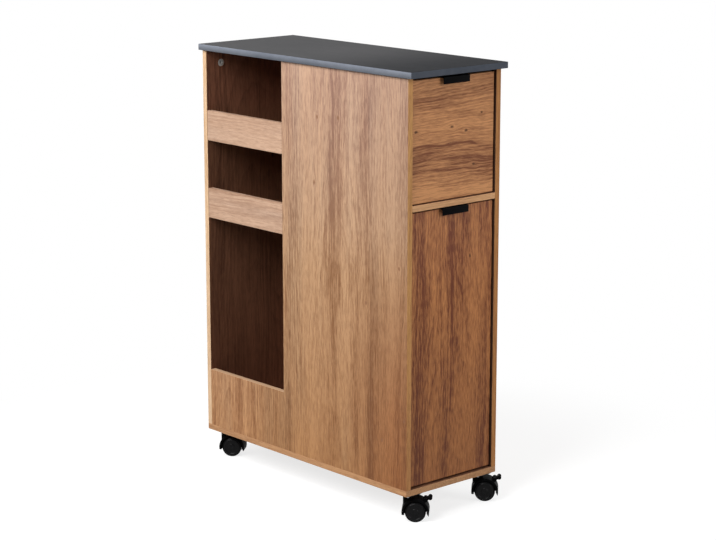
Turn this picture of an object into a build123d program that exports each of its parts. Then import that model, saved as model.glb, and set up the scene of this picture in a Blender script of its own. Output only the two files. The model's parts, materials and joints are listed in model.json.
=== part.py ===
from build123d import *
import os
from math import cos, radians, sin

os.makedirs("parts", exist_ok=True)

# Slim rolling cart. Millimetres, +Z up, drawer fronts face -Y, open shelves face -X.
# The origin lies on the floor under the middle of the top board.

# Overall sizes
cart_height = 850.0
carcass_width = 236.0
carcass_depth = 598.0
board = 12.0
top_thickness = 12.0
top_side_overhang = 5.0
top_front_overhang = 13.0
top_rear_overhang = 7.0
castor_height = 55.0

# Open shelves behind the divider, seen from the left side
shelf_lip_height = 117.0
slat_height = 60.0
top_opening_height = 120.0
middle_opening_height = 97.0
slat_end_gap = 1.0

# Inset fronts
drawer_bay_height = 233.0
front_recess = 4.0
front_side_gap = 2.5
front_top_gap = 3.0
drawer_top_gap = 6.0
front_bottom_gap = 4.0
drawer_bottom_gap = 1.5

# Softened edges of the banded boards
edge_radius = 0.8

# Drawer and pull-out boxes
box_rear_gap = 6.0
drawer_side_height = 120.0
drawer_floor_gap = 12.0
drawer_bottom_thickness = 3.0
drawer_groove_height = 10.0
drawer_groove_depth = 6.0
groove_clearance = 0.2
pullout_floor_gap = 16.0
pullout_side_height = 160.0
pullout_back_top_gap = 70.0
upper_tray_height = 240.0
upper_tray_rail_height = 60.0

# Telescopic slides of three nested channels
slide_length = 300.0
slide_depth = 12.7
slide_height = 35.0
slide_sheet = 1.2
slide_running_gap = 0.3
slide_setback = 2.0
slide_rear_gap = 18.0
slide_height_on_box = 45.0
slide_hole_radius = 2.2
slide_hole_end_distance = 35.0

# Bent edge pulls
pull_width = 66.0
pull_projection = 8.0
pull_lip_height = 13.0
pull_flange_height = 20.0
pull_sheet = 1.5
pull_bend_radius = 1.0
pull_screw_spacing = 40.0
pull_screw_radius = 1.5
pull_screw_length = 10.0
pull_screw_head_radius = 3.0
pull_screw_head_height = 1.8

# Cam lock joints between the upright panels and the top board
cam_radius = 7.5
cam_depth = 9.5
cam_edge_distance = 27.0
cam_clearance = 0.1
cam_drive_length = 8.0
cam_drive_width = 1.8
cam_drive_depth = 2.5
cam_bolt_radius = 3.2
cam_bolt_neck_radius = 2.2
cam_bolt_neck_length = 4.0
cam_bolt_head_length = 2.5
cam_bolt_bite = 9.0
rear_cam_spacing = 162.0
side_cam_front_distance = 56.0
side_cam_spacing = 260.0

# Screws up through the bottom board
base_screw_radius = 2.2
base_screw_head_radius = 4.5
base_screw_length = 40.0
countersink_angle = 45.0
base_screw_end_distance = 60.0
rear_screw_spacing = 120.0
screw_clearance = 0.1

# Twin-wheel castors
castor_inset = 26.0
castor_front_inset = 22.0
castor_trail = 14.0
wheel_radius = 20.0
wheel_width = 10.0
wheel_web_gap = 0.5
wheel_corner = 2.0
wheel_rim_width = 3.5
wheel_dish_depth = 1.2
wheel_hub_radius = 6.0
axle_radius = 2.95
axle_wheel_depth = 7.0
running_clearance = 0.05
hood_thickness = 4.5
hood_wheel_gap = 1.5
hood_web_width = 12.0
hood_side_cover = 1.0
hood_edge_radius = 2.0
hood_horn_drop = 5.0
hood_tip_drop = 10.0
hood_notch_drop = 1.0
hood_hub_radius = 8.0
pin_boss_radius = 10.0
pin_radius = 3.5
pin_length = 24.0
pin_end_gap = 1.0
plate_side = 38.0
plate_thickness = 2.0
plate_corner = 4.0
plate_hole_spacing = 28.0
swivel_cup_radius = 12.0
swivel_cup_height = 3.5
swivel_cup_edge = 1.0
swivel_gap = 0.3
plate_screw_radius = 1.9
plate_screw_length = 9.0
plate_screw_head_radius = 3.5
plate_screw_head_height = 2.0
plate_screw_head_taper = 20.0

# Brake levers of the two front castors
lever_pivot_angle = 50.0
lever_pivot_gap = 0.6
lever_barrel_radius = 2.6
lever_width = 14.0
lever_reach = 9.5
lever_rise_angle = 22.0
lever_arm_thickness = 4.0
lever_pad_radius = 4.0
lever_trunnion_radius = 1.5
lever_trunnion_clearance = 0.08
lever_ear_gap = 0.3
lever_ear_thickness = 2.5
lever_ear_radius = 4.0

# Direction in which each castor trails, in degrees from +X
castor_headings = {
    "front_left": -46.0,
    "front_right": -46.0,
    "rear_left": -50.0,
    "rear_right": -38.0,
}

# Places worked out from the sizes above
top_width = carcass_width + 2 * top_side_overhang
top_depth = carcass_depth + top_front_overhang + top_rear_overhang
half_width = carcass_width / 2
inner_half = half_width - board
front_y = -top_depth / 2 + top_front_overhang
rear_y = front_y + carcass_depth
rear_panel_y = rear_y - board
front_face_y = front_y + front_recess
front_back_y = front_face_y + board
box_rear_y = front_back_y + slide_setback + slide_length + slide_rear_gap
divider_y = box_rear_y + box_rear_gap
bay_y = divider_y + board
top_z = cart_height - top_thickness
floor_z = castor_height + board
lip_z = floor_z + shelf_lip_height
upper_slat_z = top_z - top_opening_height - slat_height
lower_slat_z = upper_slat_z - middle_opening_height - slat_height
middle_board_z = top_z - drawer_bay_height - board
front_width = 2 * (inner_half - front_side_gap)
box_half = inner_half - slide_depth
box_inner_half = box_half - board
cam_z = top_z - cam_edge_distance
hood_radius = wheel_radius + hood_wheel_gap + hood_thickness
hood_pocket_radius = wheel_radius + hood_wheel_gap
wheel_inner_face = hood_web_width / 2 + wheel_web_gap
wheel_outer_face = wheel_inner_face + wheel_width
hood_half_width = wheel_outer_face + hood_side_cover
swivel_z = castor_height - plate_thickness - swivel_cup_height
castor_points = {
    "front_left": (-half_width + castor_inset, front_y + castor_front_inset),
    "front_right": (half_width - castor_inset, front_y + castor_front_inset),
    "rear_left": (-half_width + castor_inset, rear_y - castor_inset),
    "rear_right": (half_width - castor_inset, rear_y - castor_inset),
}
side_cam_front_y = front_y + side_cam_front_distance
side_cam_ys = [side_cam_front_y, side_cam_front_y + side_cam_spacing]
rear_cam_xs = [-rear_cam_spacing / 2, rear_cam_spacing / 2]
panel_middle = half_width - board / 2
side_screw_ys = [
    front_y + base_screw_end_distance,
    (front_y + rear_panel_y) / 2,
    rear_panel_y - base_screw_end_distance,
]
base_screw_points = [(side * panel_middle, y) for side in (-1, 1) for y in side_screw_ys]
base_screw_points += [(x, rear_y - board / 2) for x in (-rear_screw_spacing / 2, rear_screw_spacing / 2)]


def save(piece, label):
    """Label a finished piece and write its STEP file."""
    piece.label = label
    export_step(piece, f"parts/{label}.step")


def block(x_span, y_span, z_span, mode=Mode.ADD):
    """Extrude a rectangular board between the given limits, inside the current part."""
    with BuildSketch(Plane.XY.offset(z_span[0])) as outline:
        with Locations(((x_span[0] + x_span[1]) / 2, (y_span[0] + y_span[1]) / 2)):
            Rectangle(x_span[1] - x_span[0], y_span[1] - y_span[0])
    extrude(outline.sketch, amount=z_span[1] - z_span[0], mode=mode)


def bore(centre, direction, radius, depth):
    """Cut a blind round hole that starts at centre and runs along direction."""
    with BuildSketch(Plane(origin=centre, z_dir=direction)) as mouth:
        Circle(radius)
    extrude(mouth.sketch, amount=depth, mode=Mode.SUBTRACT)


def cut_edge_bores(points):
    """Cut the cam bolt's hole down from the panel's top edge at each point."""
    for x, y in points:
        bore((x, y, top_z), (0, 0, -1), cam_bolt_radius + cam_clearance, cam_edge_distance)


def cut_base_pilots(points):
    """Cut the base screws' pilot holes up into a panel's bottom edge."""
    pilot_depth = base_screw_length - board + screw_clearance
    for x, y in points:
        bore((x, y, floor_z), (0, 0, 1), base_screw_radius + screw_clearance, pilot_depth)


# Carcass boards
with BuildPart() as top_board:
    block((-top_width / 2, top_width / 2), (-top_depth / 2, top_depth / 2), (top_z, cart_height))
    fillet(top_board.edges(), edge_radius)
    cam_points = [(side * panel_middle, y) for side in (-1, 1) for y in side_cam_ys]
    cam_points += [(x, rear_y - board / 2) for x in rear_cam_xs]
    for x, y in cam_points:
        bore((x, y, top_z), (0, 0, 1), cam_bolt_radius + cam_clearance, cam_bolt_bite + cam_clearance)
save(top_board.part, "top_board")

with BuildPart() as bottom_board:
    block((-half_width, half_width), (front_y, rear_y), (castor_height, floor_z))
    fillet(bottom_board.edges(), edge_radius)
    for x, y in base_screw_points:
        bore((x, y, castor_height), (0, 0, 1), base_screw_radius + screw_clearance, board)
        with BuildSketch(Plane.XY.offset(castor_height)):
            with Locations((x, y)):
                Circle(base_screw_head_radius + screw_clearance)
        extrude(
            amount=base_screw_head_radius - base_screw_radius,
            taper=countersink_angle,
            mode=Mode.SUBTRACT,
        )
    for x, y in castor_points.values():
        for dx in (-plate_hole_spacing / 2, plate_hole_spacing / 2):
            for dy in (-plate_hole_spacing / 2, plate_hole_spacing / 2):
                bore(
                    (x + dx, y + dy, castor_height),
                    (0, 0, 1),
                    plate_screw_radius + screw_clearance,
                    plate_screw_length - plate_thickness + screw_clearance,
                )
save(bottom_board.part, "bottom_board")

# The left panel is one board, cut away over the open shelves
with BuildPart() as side_panel_left:
    with BuildSketch(Plane.YZ.offset(-half_width)):
        with BuildLine():
            Polyline(
                (front_y, floor_z),
                (rear_panel_y, floor_z),
                (rear_panel_y, lip_z),
                (bay_y, lip_z),
                (bay_y, top_z),
                (front_y, top_z),
                close=True,
            )
        make_face()
    extrude(amount=board)
    upright_edges = side_panel_left.edges().filter_by(Axis.Z).group_by(Axis.Y)
    lip_edges = side_panel_left.edges().filter_by(Axis.Y).group_by(Axis.Z)[1]
    fillet(upright_edges[0] + upright_edges[1] + lip_edges, edge_radius)
    for y in side_cam_ys:
        bore((-inner_half, y, cam_z), (-1, 0, 0), cam_radius + cam_clearance, cam_depth + cam_clearance)
    cut_edge_bores([(-panel_middle, y) for y in side_cam_ys])
    cut_base_pilots([p for p in base_screw_points if p[0] == -panel_middle])
save(side_panel_left.part, "side_panel_left")

with BuildPart() as side_panel_right:
    block((inner_half, half_width), (front_y, rear_panel_y), (floor_z, top_z))
    fillet(side_panel_right.edges().filter_by(Axis.Z).group_by(Axis.Y)[0], edge_radius)
    for y in side_cam_ys:
        bore((inner_half, y, cam_z), (1, 0, 0), cam_radius + cam_clearance, cam_depth + cam_clearance)
    cut_edge_bores([(panel_middle, y) for y in side_cam_ys])
    cut_base_pilots([p for p in base_screw_points if p[0] == panel_middle])
save(side_panel_right.part, "side_panel_right")

with BuildPart() as rear_panel:
    block((-half_width, half_width), (rear_panel_y, rear_y), (floor_z, top_z))
    fillet(rear_panel.edges().filter_by(Axis.Z), edge_radius)
    for x in rear_cam_xs:
        bore((x, rear_panel_y, cam_z), (0, 1, 0), cam_radius + cam_clearance, cam_depth + cam_clearance)
    cut_edge_bores([(x, rear_y - board / 2) for x in rear_cam_xs])
    cut_base_pilots([p for p in base_screw_points if abs(p[0]) < panel_middle])
save(rear_panel.part, "rear_panel")

with BuildPart() as divider_panel:
    block((-inner_half, inner_half), (divider_y, bay_y), (floor_z, top_z))
save(divider_panel.part, "divider_panel")

with BuildPart() as middle_board:
    block((-inner_half, inner_half), (front_y, divider_y), (middle_board_z, middle_board_z + board))
    fillet(middle_board.edges().filter_by(Axis.X).group_by(Axis.Y)[0], edge_radius)
save(middle_board.part, "middle_board")

for level, slat_z in (("upper", upper_slat_z), ("lower", lower_slat_z)):
    with BuildPart() as shelf:
        block((-inner_half, inner_half), (bay_y, rear_panel_y), (slat_z, slat_z + board))
    save(shelf.part, f"{level}_shelf")
    with BuildPart() as slat:
        block(
            (-half_width, -inner_half),
            (bay_y, rear_panel_y - slat_end_gap),
            (slat_z, slat_z + slat_height),
        )
        fillet(slat.edges().filter_by(Axis.Y), edge_radius)
    save(slat.part, f"{level}_slat")

# Cam discs in the panels' inner faces, with their bolts standing in the top board
cam_planes = [
    Plane(origin=(side * inner_half, y, cam_z), x_dir=(0, 1, 0), z_dir=(side, 0, 0))
    for side in (-1, 1)
    for y in side_cam_ys
]
cam_planes += [Plane(origin=(x, rear_panel_y, cam_z), x_dir=(1, 0, 0), z_dir=(0, 1, 0)) for x in rear_cam_xs]

with BuildPart() as cam_locks:
    for plane in cam_planes:
        with BuildSketch(plane):
            Circle(cam_radius)
        extrude(amount=cam_depth)
        with BuildSketch(plane):
            Rectangle(cam_drive_length, cam_drive_width)
            Rectangle(cam_drive_width, cam_drive_length)
        extrude(amount=cam_drive_depth, mode=Mode.SUBTRACT)
    for x, y in cam_points:
        bore((x, y, cam_z), (0, 0, 1), cam_bolt_radius + cam_clearance, cam_radius)
save(cam_locks.part, "cam_locks")

with BuildPart() as cam_bolts:
    head_z = cam_z + cam_clearance
    neck_z = head_z + cam_bolt_head_length
    shank_z = neck_z + cam_bolt_neck_length
    for x, y in cam_points:
        for low, high, radius in (
            (head_z, neck_z, cam_bolt_radius),
            (neck_z, shank_z, cam_bolt_neck_radius),
            (shank_z, top_z + cam_bolt_bite, cam_bolt_radius),
        ):
            with BuildSketch(Plane.XY.offset(low)):
                with Locations((x, y)):
                    Circle(radius)
            extrude(amount=high - low)
save(cam_bolts.part, "cam_bolts")

with BuildPart() as base_screws:
    for x, y in base_screw_points:
        with BuildSketch(Plane.XY.offset(castor_height)):
            with Locations((x, y)):
                Circle(base_screw_head_radius)
        extrude(amount=base_screw_head_radius - base_screw_radius, taper=countersink_angle)
        with BuildSketch(Plane.XY.offset(castor_height)):
            with Locations((x, y)):
                Circle(base_screw_radius)
        extrude(amount=base_screw_length)
save(base_screws.part, "base_screws")


# Bent pull that hooks over the top edge of a front
def make_pull(edge_z):
    """Bend the pull's strip round the front's top edge, with a flange behind and a lip in front."""
    lip_y = front_face_y - pull_projection
    flange_y = front_back_y + pull_sheet
    with BuildPart() as pull:
        with BuildSketch(Plane.YZ.offset(-pull_width / 2)):
            with BuildLine():
                Polyline(
                    (lip_y, edge_z + pull_sheet - pull_lip_height),
                    (lip_y, edge_z + pull_sheet),
                    (flange_y, edge_z + pull_sheet),
                    (flange_y, edge_z - pull_flange_height),
                    (front_back_y, edge_z - pull_flange_height),
                    (front_back_y, edge_z),
                    (lip_y + pull_sheet, edge_z),
                    (lip_y + pull_sheet, edge_z + pull_sheet - pull_lip_height),
                    close=True,
                )
            make_face()
        extrude(amount=pull_width)
        top_edges = pull.edges().filter_by(Axis.X).group_by(Axis.Z)[-1]
        fillet(top_edges, pull_bend_radius)
        for x in (-pull_screw_spacing / 2, pull_screw_spacing / 2):
            bore(
                (x, flange_y, edge_z - pull_flange_height / 2),
                (0, -1, 0),
                pull_screw_radius + screw_clearance,
                pull_sheet,
            )
    return pull.part


def make_pull_screws(edge_z):
    """Make the two round-headed screws that hold a pull's flange to its front."""
    flange_y = front_back_y + pull_sheet
    screw_z = edge_z - pull_flange_height / 2
    with BuildPart() as screws:
        for x in (-pull_screw_spacing / 2, pull_screw_spacing / 2):
            with BuildSketch(Plane(origin=(x, flange_y, screw_z), z_dir=(0, 1, 0))):
                Circle(pull_screw_head_radius)
            extrude(amount=pull_screw_head_height)
            with BuildSketch(Plane(origin=(x, flange_y, screw_z), z_dir=(0, -1, 0))):
                Circle(pull_screw_radius)
            extrude(amount=pull_screw_length)
    return screws.part


def cut_pull_pilots(edge_z):
    """Cut the pilot holes of the pull screws into the back of a front."""
    for x in (-pull_screw_spacing / 2, pull_screw_spacing / 2):
        bore(
            (x, front_back_y, edge_z - pull_flange_height / 2),
            (0, -1, 0),
            pull_screw_radius + screw_clearance,
            pull_screw_length - pull_sheet + screw_clearance,
        )


# One member of a telescopic slide: a channel whose web stands at web_x and opens away from it
def channel(side, web_x, open_x, low_z, high_z, start_y):
    """Extrude one channel along Y, between its web and its open side, on one side of the cart."""
    web = side * web_x
    opening = side * open_x
    towards = 1 if opening > web else -1
    inner_web = web + towards * slide_sheet
    with BuildSketch(Plane.XZ.offset(-start_y)) as section:
        with BuildLine():
            Polyline(
                (opening, low_z),
                (web, low_z),
                (web, high_z),
                (opening, high_z),
                (opening, high_z - slide_sheet),
                (inner_web, high_z - slide_sheet),
                (inner_web, low_z + slide_sheet),
                (opening, low_z + slide_sheet),
                close=True,
            )
        make_face()
    extrude(section.sketch, amount=-slide_length)


def make_slides(name, centre_z):
    """Make the cabinet, middle and box members of a pair of slides round one height."""
    start_y = front_back_y + slide_setback
    step = slide_sheet + slide_running_gap
    members = (
        ("cabinet_members", inner_half, box_half + step, 0),
        ("middle_members", inner_half - step, box_half + step, 1),
        ("box_members", box_half, inner_half - 2 * step, 2),
    )
    for label, web_x, open_x, nesting in members:
        half_height = slide_height / 2 - nesting * step
        with BuildPart() as slides:
            for side in (-1, 1):
                channel(side, web_x, open_x, centre_z - half_height, centre_z + half_height, start_y)
                if nesting == 1:
                    continue
                outward = side if web_x > open_x else -side
                mouth_x = side * web_x - outward * slide_sheet
                for end in (slide_hole_end_distance, slide_length - slide_hole_end_distance):
                    mouth = (mouth_x, start_y + end, centre_z)
                    bore(mouth, (outward, 0, 0), slide_hole_radius, slide_sheet)
        save(slides.part, f"{name}_slide_{label}")


# Drawer
drawer_low = middle_board_z + board + drawer_floor_gap
drawer_front_z = (middle_board_z + board + drawer_bottom_gap, top_z - drawer_top_gap)
drawer_groove_z = drawer_low + drawer_groove_height
groove_height = drawer_bottom_thickness + groove_clearance

with BuildPart() as drawer_front:
    block((-front_width / 2, front_width / 2), (front_face_y, front_back_y), drawer_front_z)
    fillet(drawer_front.edges(), edge_radius)
    block(
        (-box_inner_half - drawer_groove_depth, box_inner_half + drawer_groove_depth),
        (front_back_y - drawer_groove_depth, front_back_y),
        (drawer_groove_z, drawer_groove_z + groove_height),
        mode=Mode.SUBTRACT,
    )
    cut_pull_pilots(drawer_front_z[1])
save(drawer_front.part, "drawer_front")

for name, side in (("left", -1), ("right", 1)):
    with BuildPart() as drawer_side:
        side_span = sorted((side * box_inner_half, side * box_half))
        groove_span = sorted((side * box_inner_half, side * (box_inner_half + drawer_groove_depth)))
        block(side_span, (front_back_y, box_rear_y), (drawer_low, drawer_low + drawer_side_height))
        block(
            groove_span,
            (front_back_y, box_rear_y),
            (drawer_groove_z, drawer_groove_z + groove_height),
            mode=Mode.SUBTRACT,
        )
    save(drawer_side.part, f"drawer_side_{name}")

with BuildPart() as drawer_back:
    block(
        (-box_inner_half, box_inner_half),
        (box_rear_y - board, box_rear_y),
        (drawer_groove_z + groove_height, drawer_low + drawer_side_height),
    )
save(drawer_back.part, "drawer_back")

with BuildPart() as drawer_bottom:
    bottom_half = box_inner_half + drawer_groove_depth - groove_clearance
    block(
        (-bottom_half, bottom_half),
        (front_back_y - drawer_groove_depth + groove_clearance, box_rear_y),
        (drawer_groove_z, drawer_groove_z + drawer_bottom_thickness),
    )
save(drawer_bottom.part, "drawer_bottom")

save(make_pull(drawer_front_z[1]), "drawer_pull")
save(make_pull_screws(drawer_front_z[1]), "drawer_pull_screws")
make_slides("drawer", drawer_low + slide_height_on_box)

# Tall pull-out with two trays behind the lower front
pullout_low = floor_z + pullout_floor_gap
pullout_front_z = (floor_z + front_bottom_gap, middle_board_z - front_top_gap)
pullout_rear_y = box_rear_y - board
upper_tray_z = pullout_low + upper_tray_height
tray_y = (front_back_y, pullout_rear_y)

with BuildPart() as pullout_front:
    block((-front_width / 2, front_width / 2), (front_face_y, front_back_y), pullout_front_z)
    fillet(pullout_front.edges(), edge_radius)
    cut_pull_pilots(pullout_front_z[1])
save(pullout_front.part, "pullout_front")

with BuildPart() as pullout_back:
    block(
        (-box_half, box_half),
        (pullout_rear_y, box_rear_y),
        (pullout_low, middle_board_z - pullout_back_top_gap),
    )
save(pullout_back.part, "pullout_back")

for name, side in (("left", -1), ("right", 1)):
    side_span = sorted((side * box_inner_half, side * box_half))
    with BuildPart() as pullout_side:
        block(side_span, tray_y, (pullout_low, pullout_low + pullout_side_height))
    save(pullout_side.part, f"pullout_side_{name}")
    with BuildPart() as upper_tray_rail:
        block(side_span, tray_y, (upper_tray_z, upper_tray_z + upper_tray_rail_height))
    save(upper_tray_rail.part, f"upper_tray_rail_{name}")

for label, low in (("pullout_bottom", pullout_low), ("upper_tray", upper_tray_z)):
    with BuildPart() as tray:
        block((-box_inner_half, box_inner_half), tray_y, (low, low + board))
    save(tray.part, label)

save(make_pull(pullout_front_z[1]), "pullout_pull")
save(make_pull_screws(pullout_front_z[1]), "pullout_pull_screws")
make_slides("pullout", pullout_low + slide_height_on_box)

# Castor mounting plates, each with its swivel cup
with BuildPart() as castor_plates:
    for x, y in castor_points.values():
        with BuildSketch(Plane.XY.offset(castor_height)):
            with Locations((x, y)):
                RectangleRounded(plate_side, plate_side, plate_corner)
                with GridLocations(plate_hole_spacing, plate_hole_spacing, 2, 2):
                    Circle(plate_screw_radius + screw_clearance, mode=Mode.SUBTRACT)
        extrude(amount=-plate_thickness)
        with BuildSketch(Plane.XY.offset(castor_height - plate_thickness)):
            with Locations((x, y)):
                Circle(swivel_cup_radius)
        extrude(amount=-swivel_cup_height)
        bore((x, y, swivel_z), (0, 0, 1), pin_radius + running_clearance, castor_height - swivel_z)
    cup_rims = castor_plates.edges().filter_by(GeomType.CIRCLE).group_by(SortBy.RADIUS)[-1]
    chamfer(cup_rims.group_by(Axis.Z)[0], swivel_cup_edge)
save(castor_plates.part, "castor_plates")

with BuildPart() as castor_pins:
    for x, y in castor_points.values():
        with BuildSketch(Plane.XY.offset(castor_height - pin_end_gap)):
            with Locations((x, y)):
                Circle(pin_radius)
        extrude(amount=-(castor_height - pin_end_gap - swivel_z + pin_length))
save(castor_pins.part, "castor_pins")

with BuildPart() as castor_screws:
    for x, y in castor_points.values():
        with BuildSketch(Plane.XY.offset(castor_height - plate_thickness)):
            with Locations((x, y)):
                with GridLocations(plate_hole_spacing, plate_hole_spacing, 2, 2):
                    Circle(plate_screw_head_radius)
        extrude(amount=-plate_screw_head_height, taper=plate_screw_head_taper)
        with BuildSketch(Plane.XY.offset(castor_height - plate_thickness)):
            with Locations((x, y)):
                with GridLocations(plate_hole_spacing, plate_hole_spacing, 2, 2):
                    Circle(plate_screw_radius)
        extrude(amount=plate_screw_length)
save(castor_screws.part, "castor_screws")

# One castor in its own frame: it swivels about Z and trails along +X
pivot_radius = hood_radius + lever_pivot_gap + lever_barrel_radius
pivot_x = castor_trail + pivot_radius * cos(radians(lever_pivot_angle))
pivot_z = wheel_radius + pivot_radius * sin(radians(lever_pivot_angle))
ear_foot_radius = hood_radius - hood_thickness / 2
ear_foot_x = castor_trail + ear_foot_radius * cos(radians(lever_pivot_angle))
ear_foot_z = wheel_radius + ear_foot_radius * sin(radians(lever_pivot_angle))
ear_inner = lever_width / 2 + lever_ear_gap
ear_outer = ear_inner + lever_ear_thickness


def make_hood(with_lever):
    """Mould the hood: a shell over both treads, a web between the wheels and a boss for the pin."""
    with BuildPart() as hood:
        with BuildSketch(Plane.XZ):
            with Locations((castor_trail, wheel_radius)):
                Circle(hood_radius)
            with BuildLine():
                Polyline(
                    (castor_trail - hood_radius, wheel_radius - hood_horn_drop),
                    (castor_trail, wheel_radius - hood_horn_drop),
                    (castor_trail + hood_pocket_radius, wheel_radius - hood_notch_drop),
                    (castor_trail + hood_radius, wheel_radius - hood_tip_drop),
                    (castor_trail + hood_radius, wheel_radius - hood_radius),
                    (castor_trail - hood_radius, wheel_radius - hood_radius),
                    close=True,
                )
            make_face(mode=Mode.SUBTRACT)
        extrude(amount=hood_half_width, both=True)
        arcs = hood.edges().filter_by(GeomType.CIRCLE)
        fillet(arcs, hood_edge_radius)
        with BuildSketch(Plane.XY.offset(swivel_z - swivel_gap)):
            Circle(pin_boss_radius)
        extrude(amount=-(swivel_z - swivel_gap - wheel_radius))
        for side in (-1, 1):
            with BuildSketch(Plane.XZ.offset(side * hood_web_width / 2)):
                with Locations((castor_trail, wheel_radius)):
                    Circle(hood_pocket_radius)
            extrude(amount=side * hood_half_width, mode=Mode.SUBTRACT)
        with BuildSketch(Plane.XZ):
            with Locations((castor_trail, wheel_radius)):
                Circle(hood_hub_radius)
        extrude(amount=hood_web_width / 2, both=True)
        if with_lever:
            for side in (-1, 1):
                with BuildSketch(Plane.XZ.offset(side * ear_inner)):
                    with Locations((pivot_x, pivot_z)):
                        Circle(lever_ear_radius)
                    with Locations((ear_foot_x, ear_foot_z)):
                        Circle(hood_thickness / 2)
                    make_hull()
                extrude(amount=side * lever_ear_thickness)
            with BuildSketch(Plane.XZ.offset(-ear_outer)):
                with Locations((pivot_x, pivot_z)):
                    Circle(lever_trunnion_radius + lever_trunnion_clearance)
            extrude(amount=2 * ear_outer, mode=Mode.SUBTRACT)
        with BuildSketch(Plane.XZ.offset(-hood_half_width)):
            with Locations((castor_trail, wheel_radius)):
                Circle(axle_radius + running_clearance)
        extrude(amount=2 * hood_half_width, mode=Mode.SUBTRACT)
        with BuildSketch(Plane.XY.offset(swivel_z)):
            Circle(pin_radius + running_clearance)
        extrude(amount=-(pin_length + pin_end_gap), mode=Mode.SUBTRACT)
    return hood.part


def make_wheel(side):
    """Turn one wheel: crowned tread corners, a raised rim, a dished disc and a closed hub cap."""
    bore_end = wheel_inner_face + axle_wheel_depth + running_clearance
    dish = wheel_outer_face - wheel_dish_depth
    bore_radius = axle_radius + running_clearance
    with BuildPart() as wheel:
        with BuildSketch(Plane(origin=(castor_trail, 0, wheel_radius), x_dir=(0, 1, 0), z_dir=(1, 0, 0))):
            with BuildLine():
                Polyline(
                    (side * wheel_inner_face, bore_radius),
                    (side * wheel_inner_face, wheel_radius - wheel_corner),
                    (side * (wheel_inner_face + wheel_corner), wheel_radius),
                    (side * (wheel_outer_face - wheel_corner), wheel_radius),
                    (side * wheel_outer_face, wheel_radius - wheel_corner),
                    (side * wheel_outer_face, wheel_radius - wheel_rim_width),
                    (side * dish, wheel_radius - wheel_rim_width - wheel_dish_depth),
                    (side * dish, wheel_hub_radius + wheel_dish_depth),
                    (side * wheel_outer_face, wheel_hub_radius),
                    (side * wheel_outer_face, 0),
                    (side * bore_end, 0),
                    (side * bore_end, bore_radius),
                    close=True,
                )
            make_face()
        revolve(axis=Axis((castor_trail, 0, wheel_radius), (0, 1, 0)))
    return wheel.part


def make_axle():
    """Make the steel axle that is pressed through the web and carries both wheels."""
    half_length = wheel_inner_face + axle_wheel_depth
    with BuildPart() as axle:
        with BuildSketch(Plane.XZ.offset(-half_length)):
            with Locations((castor_trail, wheel_radius)):
                Circle(axle_radius)
        extrude(amount=2 * half_length)
    return axle.part


def make_lever():
    """Make the brake lever: a barrel with two trunnions, an arm and a rounded pad."""
    tip_x = pivot_x + lever_reach * cos(radians(lever_rise_angle))
    tip_z = pivot_z + lever_reach * sin(radians(lever_rise_angle))
    with BuildPart() as lever:
        with BuildSketch(Plane.XZ):
            with Locations((pivot_x, pivot_z)):
                Circle(lever_barrel_radius)
            with Locations((tip_x, tip_z)):
                Circle(lever_arm_thickness / 2)
            make_hull()
            with Locations((tip_x, tip_z)):
                Circle(lever_pad_radius)
        extrude(amount=lever_width / 2, both=True)
        with BuildSketch(Plane.XZ):
            with Locations((pivot_x, pivot_z)):
                Circle(lever_trunnion_radius)
        extrude(amount=ear_outer, both=True)
    return lever.part


for name, (x, y) in castor_points.items():
    place = Location((x, y, 0), (0, 0, castor_headings[name]))
    braked = name.startswith("front")
    save(make_hood(braked).moved(place), f"castor_{name}_hood")
    save(make_axle().moved(place), f"castor_{name}_axle")
    save(make_wheel(1).moved(place), f"castor_{name}_wheel_a")
    save(make_wheel(-1).moved(place), f"castor_{name}_wheel_b")
    if braked:
        save(make_lever().moved(place), f"castor_{name}_brake_lever")
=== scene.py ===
"""Finishes, fittings and studio of a slim rolling cart, laid out as a Blender add-on.

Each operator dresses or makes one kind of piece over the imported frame. Lengths are in metres.
"""

import json
import math

import bmesh
import bpy
from bpy.props import FloatProperty, FloatVectorProperty, PointerProperty
from bpy.types import Operator, Panel, PropertyGroup
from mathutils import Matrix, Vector


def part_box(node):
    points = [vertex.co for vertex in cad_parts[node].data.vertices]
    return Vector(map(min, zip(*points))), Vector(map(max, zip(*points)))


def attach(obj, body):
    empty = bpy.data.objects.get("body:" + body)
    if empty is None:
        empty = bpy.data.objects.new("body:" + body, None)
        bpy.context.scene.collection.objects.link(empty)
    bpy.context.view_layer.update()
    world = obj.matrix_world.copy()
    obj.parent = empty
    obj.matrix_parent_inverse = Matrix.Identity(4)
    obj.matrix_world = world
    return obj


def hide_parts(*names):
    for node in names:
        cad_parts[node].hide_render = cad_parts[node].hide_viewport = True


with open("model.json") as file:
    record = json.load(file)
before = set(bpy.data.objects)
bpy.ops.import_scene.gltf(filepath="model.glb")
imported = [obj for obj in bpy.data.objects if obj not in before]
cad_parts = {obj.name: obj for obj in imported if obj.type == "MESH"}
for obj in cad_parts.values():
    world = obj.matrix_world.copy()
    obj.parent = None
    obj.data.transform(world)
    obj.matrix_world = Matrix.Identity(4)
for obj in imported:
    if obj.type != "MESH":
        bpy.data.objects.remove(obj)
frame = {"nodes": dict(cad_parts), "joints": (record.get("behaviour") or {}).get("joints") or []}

bl_info = {
    "name": "Slim rolling cart",
    "version": (1, 0, 0),
    "blender": (4, 5, 0),
    "location": "View3D > Sidebar > Cart",
    "description": "Dresses the slim rolling cart with its boards, castors, fittings and studio",
    "category": "Object",
}

FLOAT = "NodeSocketFloat"
VECTOR = "NodeSocketVector"
GEOMETRY = "NodeSocketGeometry"
MATERIAL = "NodeSocketMaterial"


def rgb(red, green, blue):
    """A linear colour with full cover."""
    return (red, green, blue, 1.0)


WHITE = rgb(1.0, 1.0, 1.0)


# Shared helpers for node trees


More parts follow.
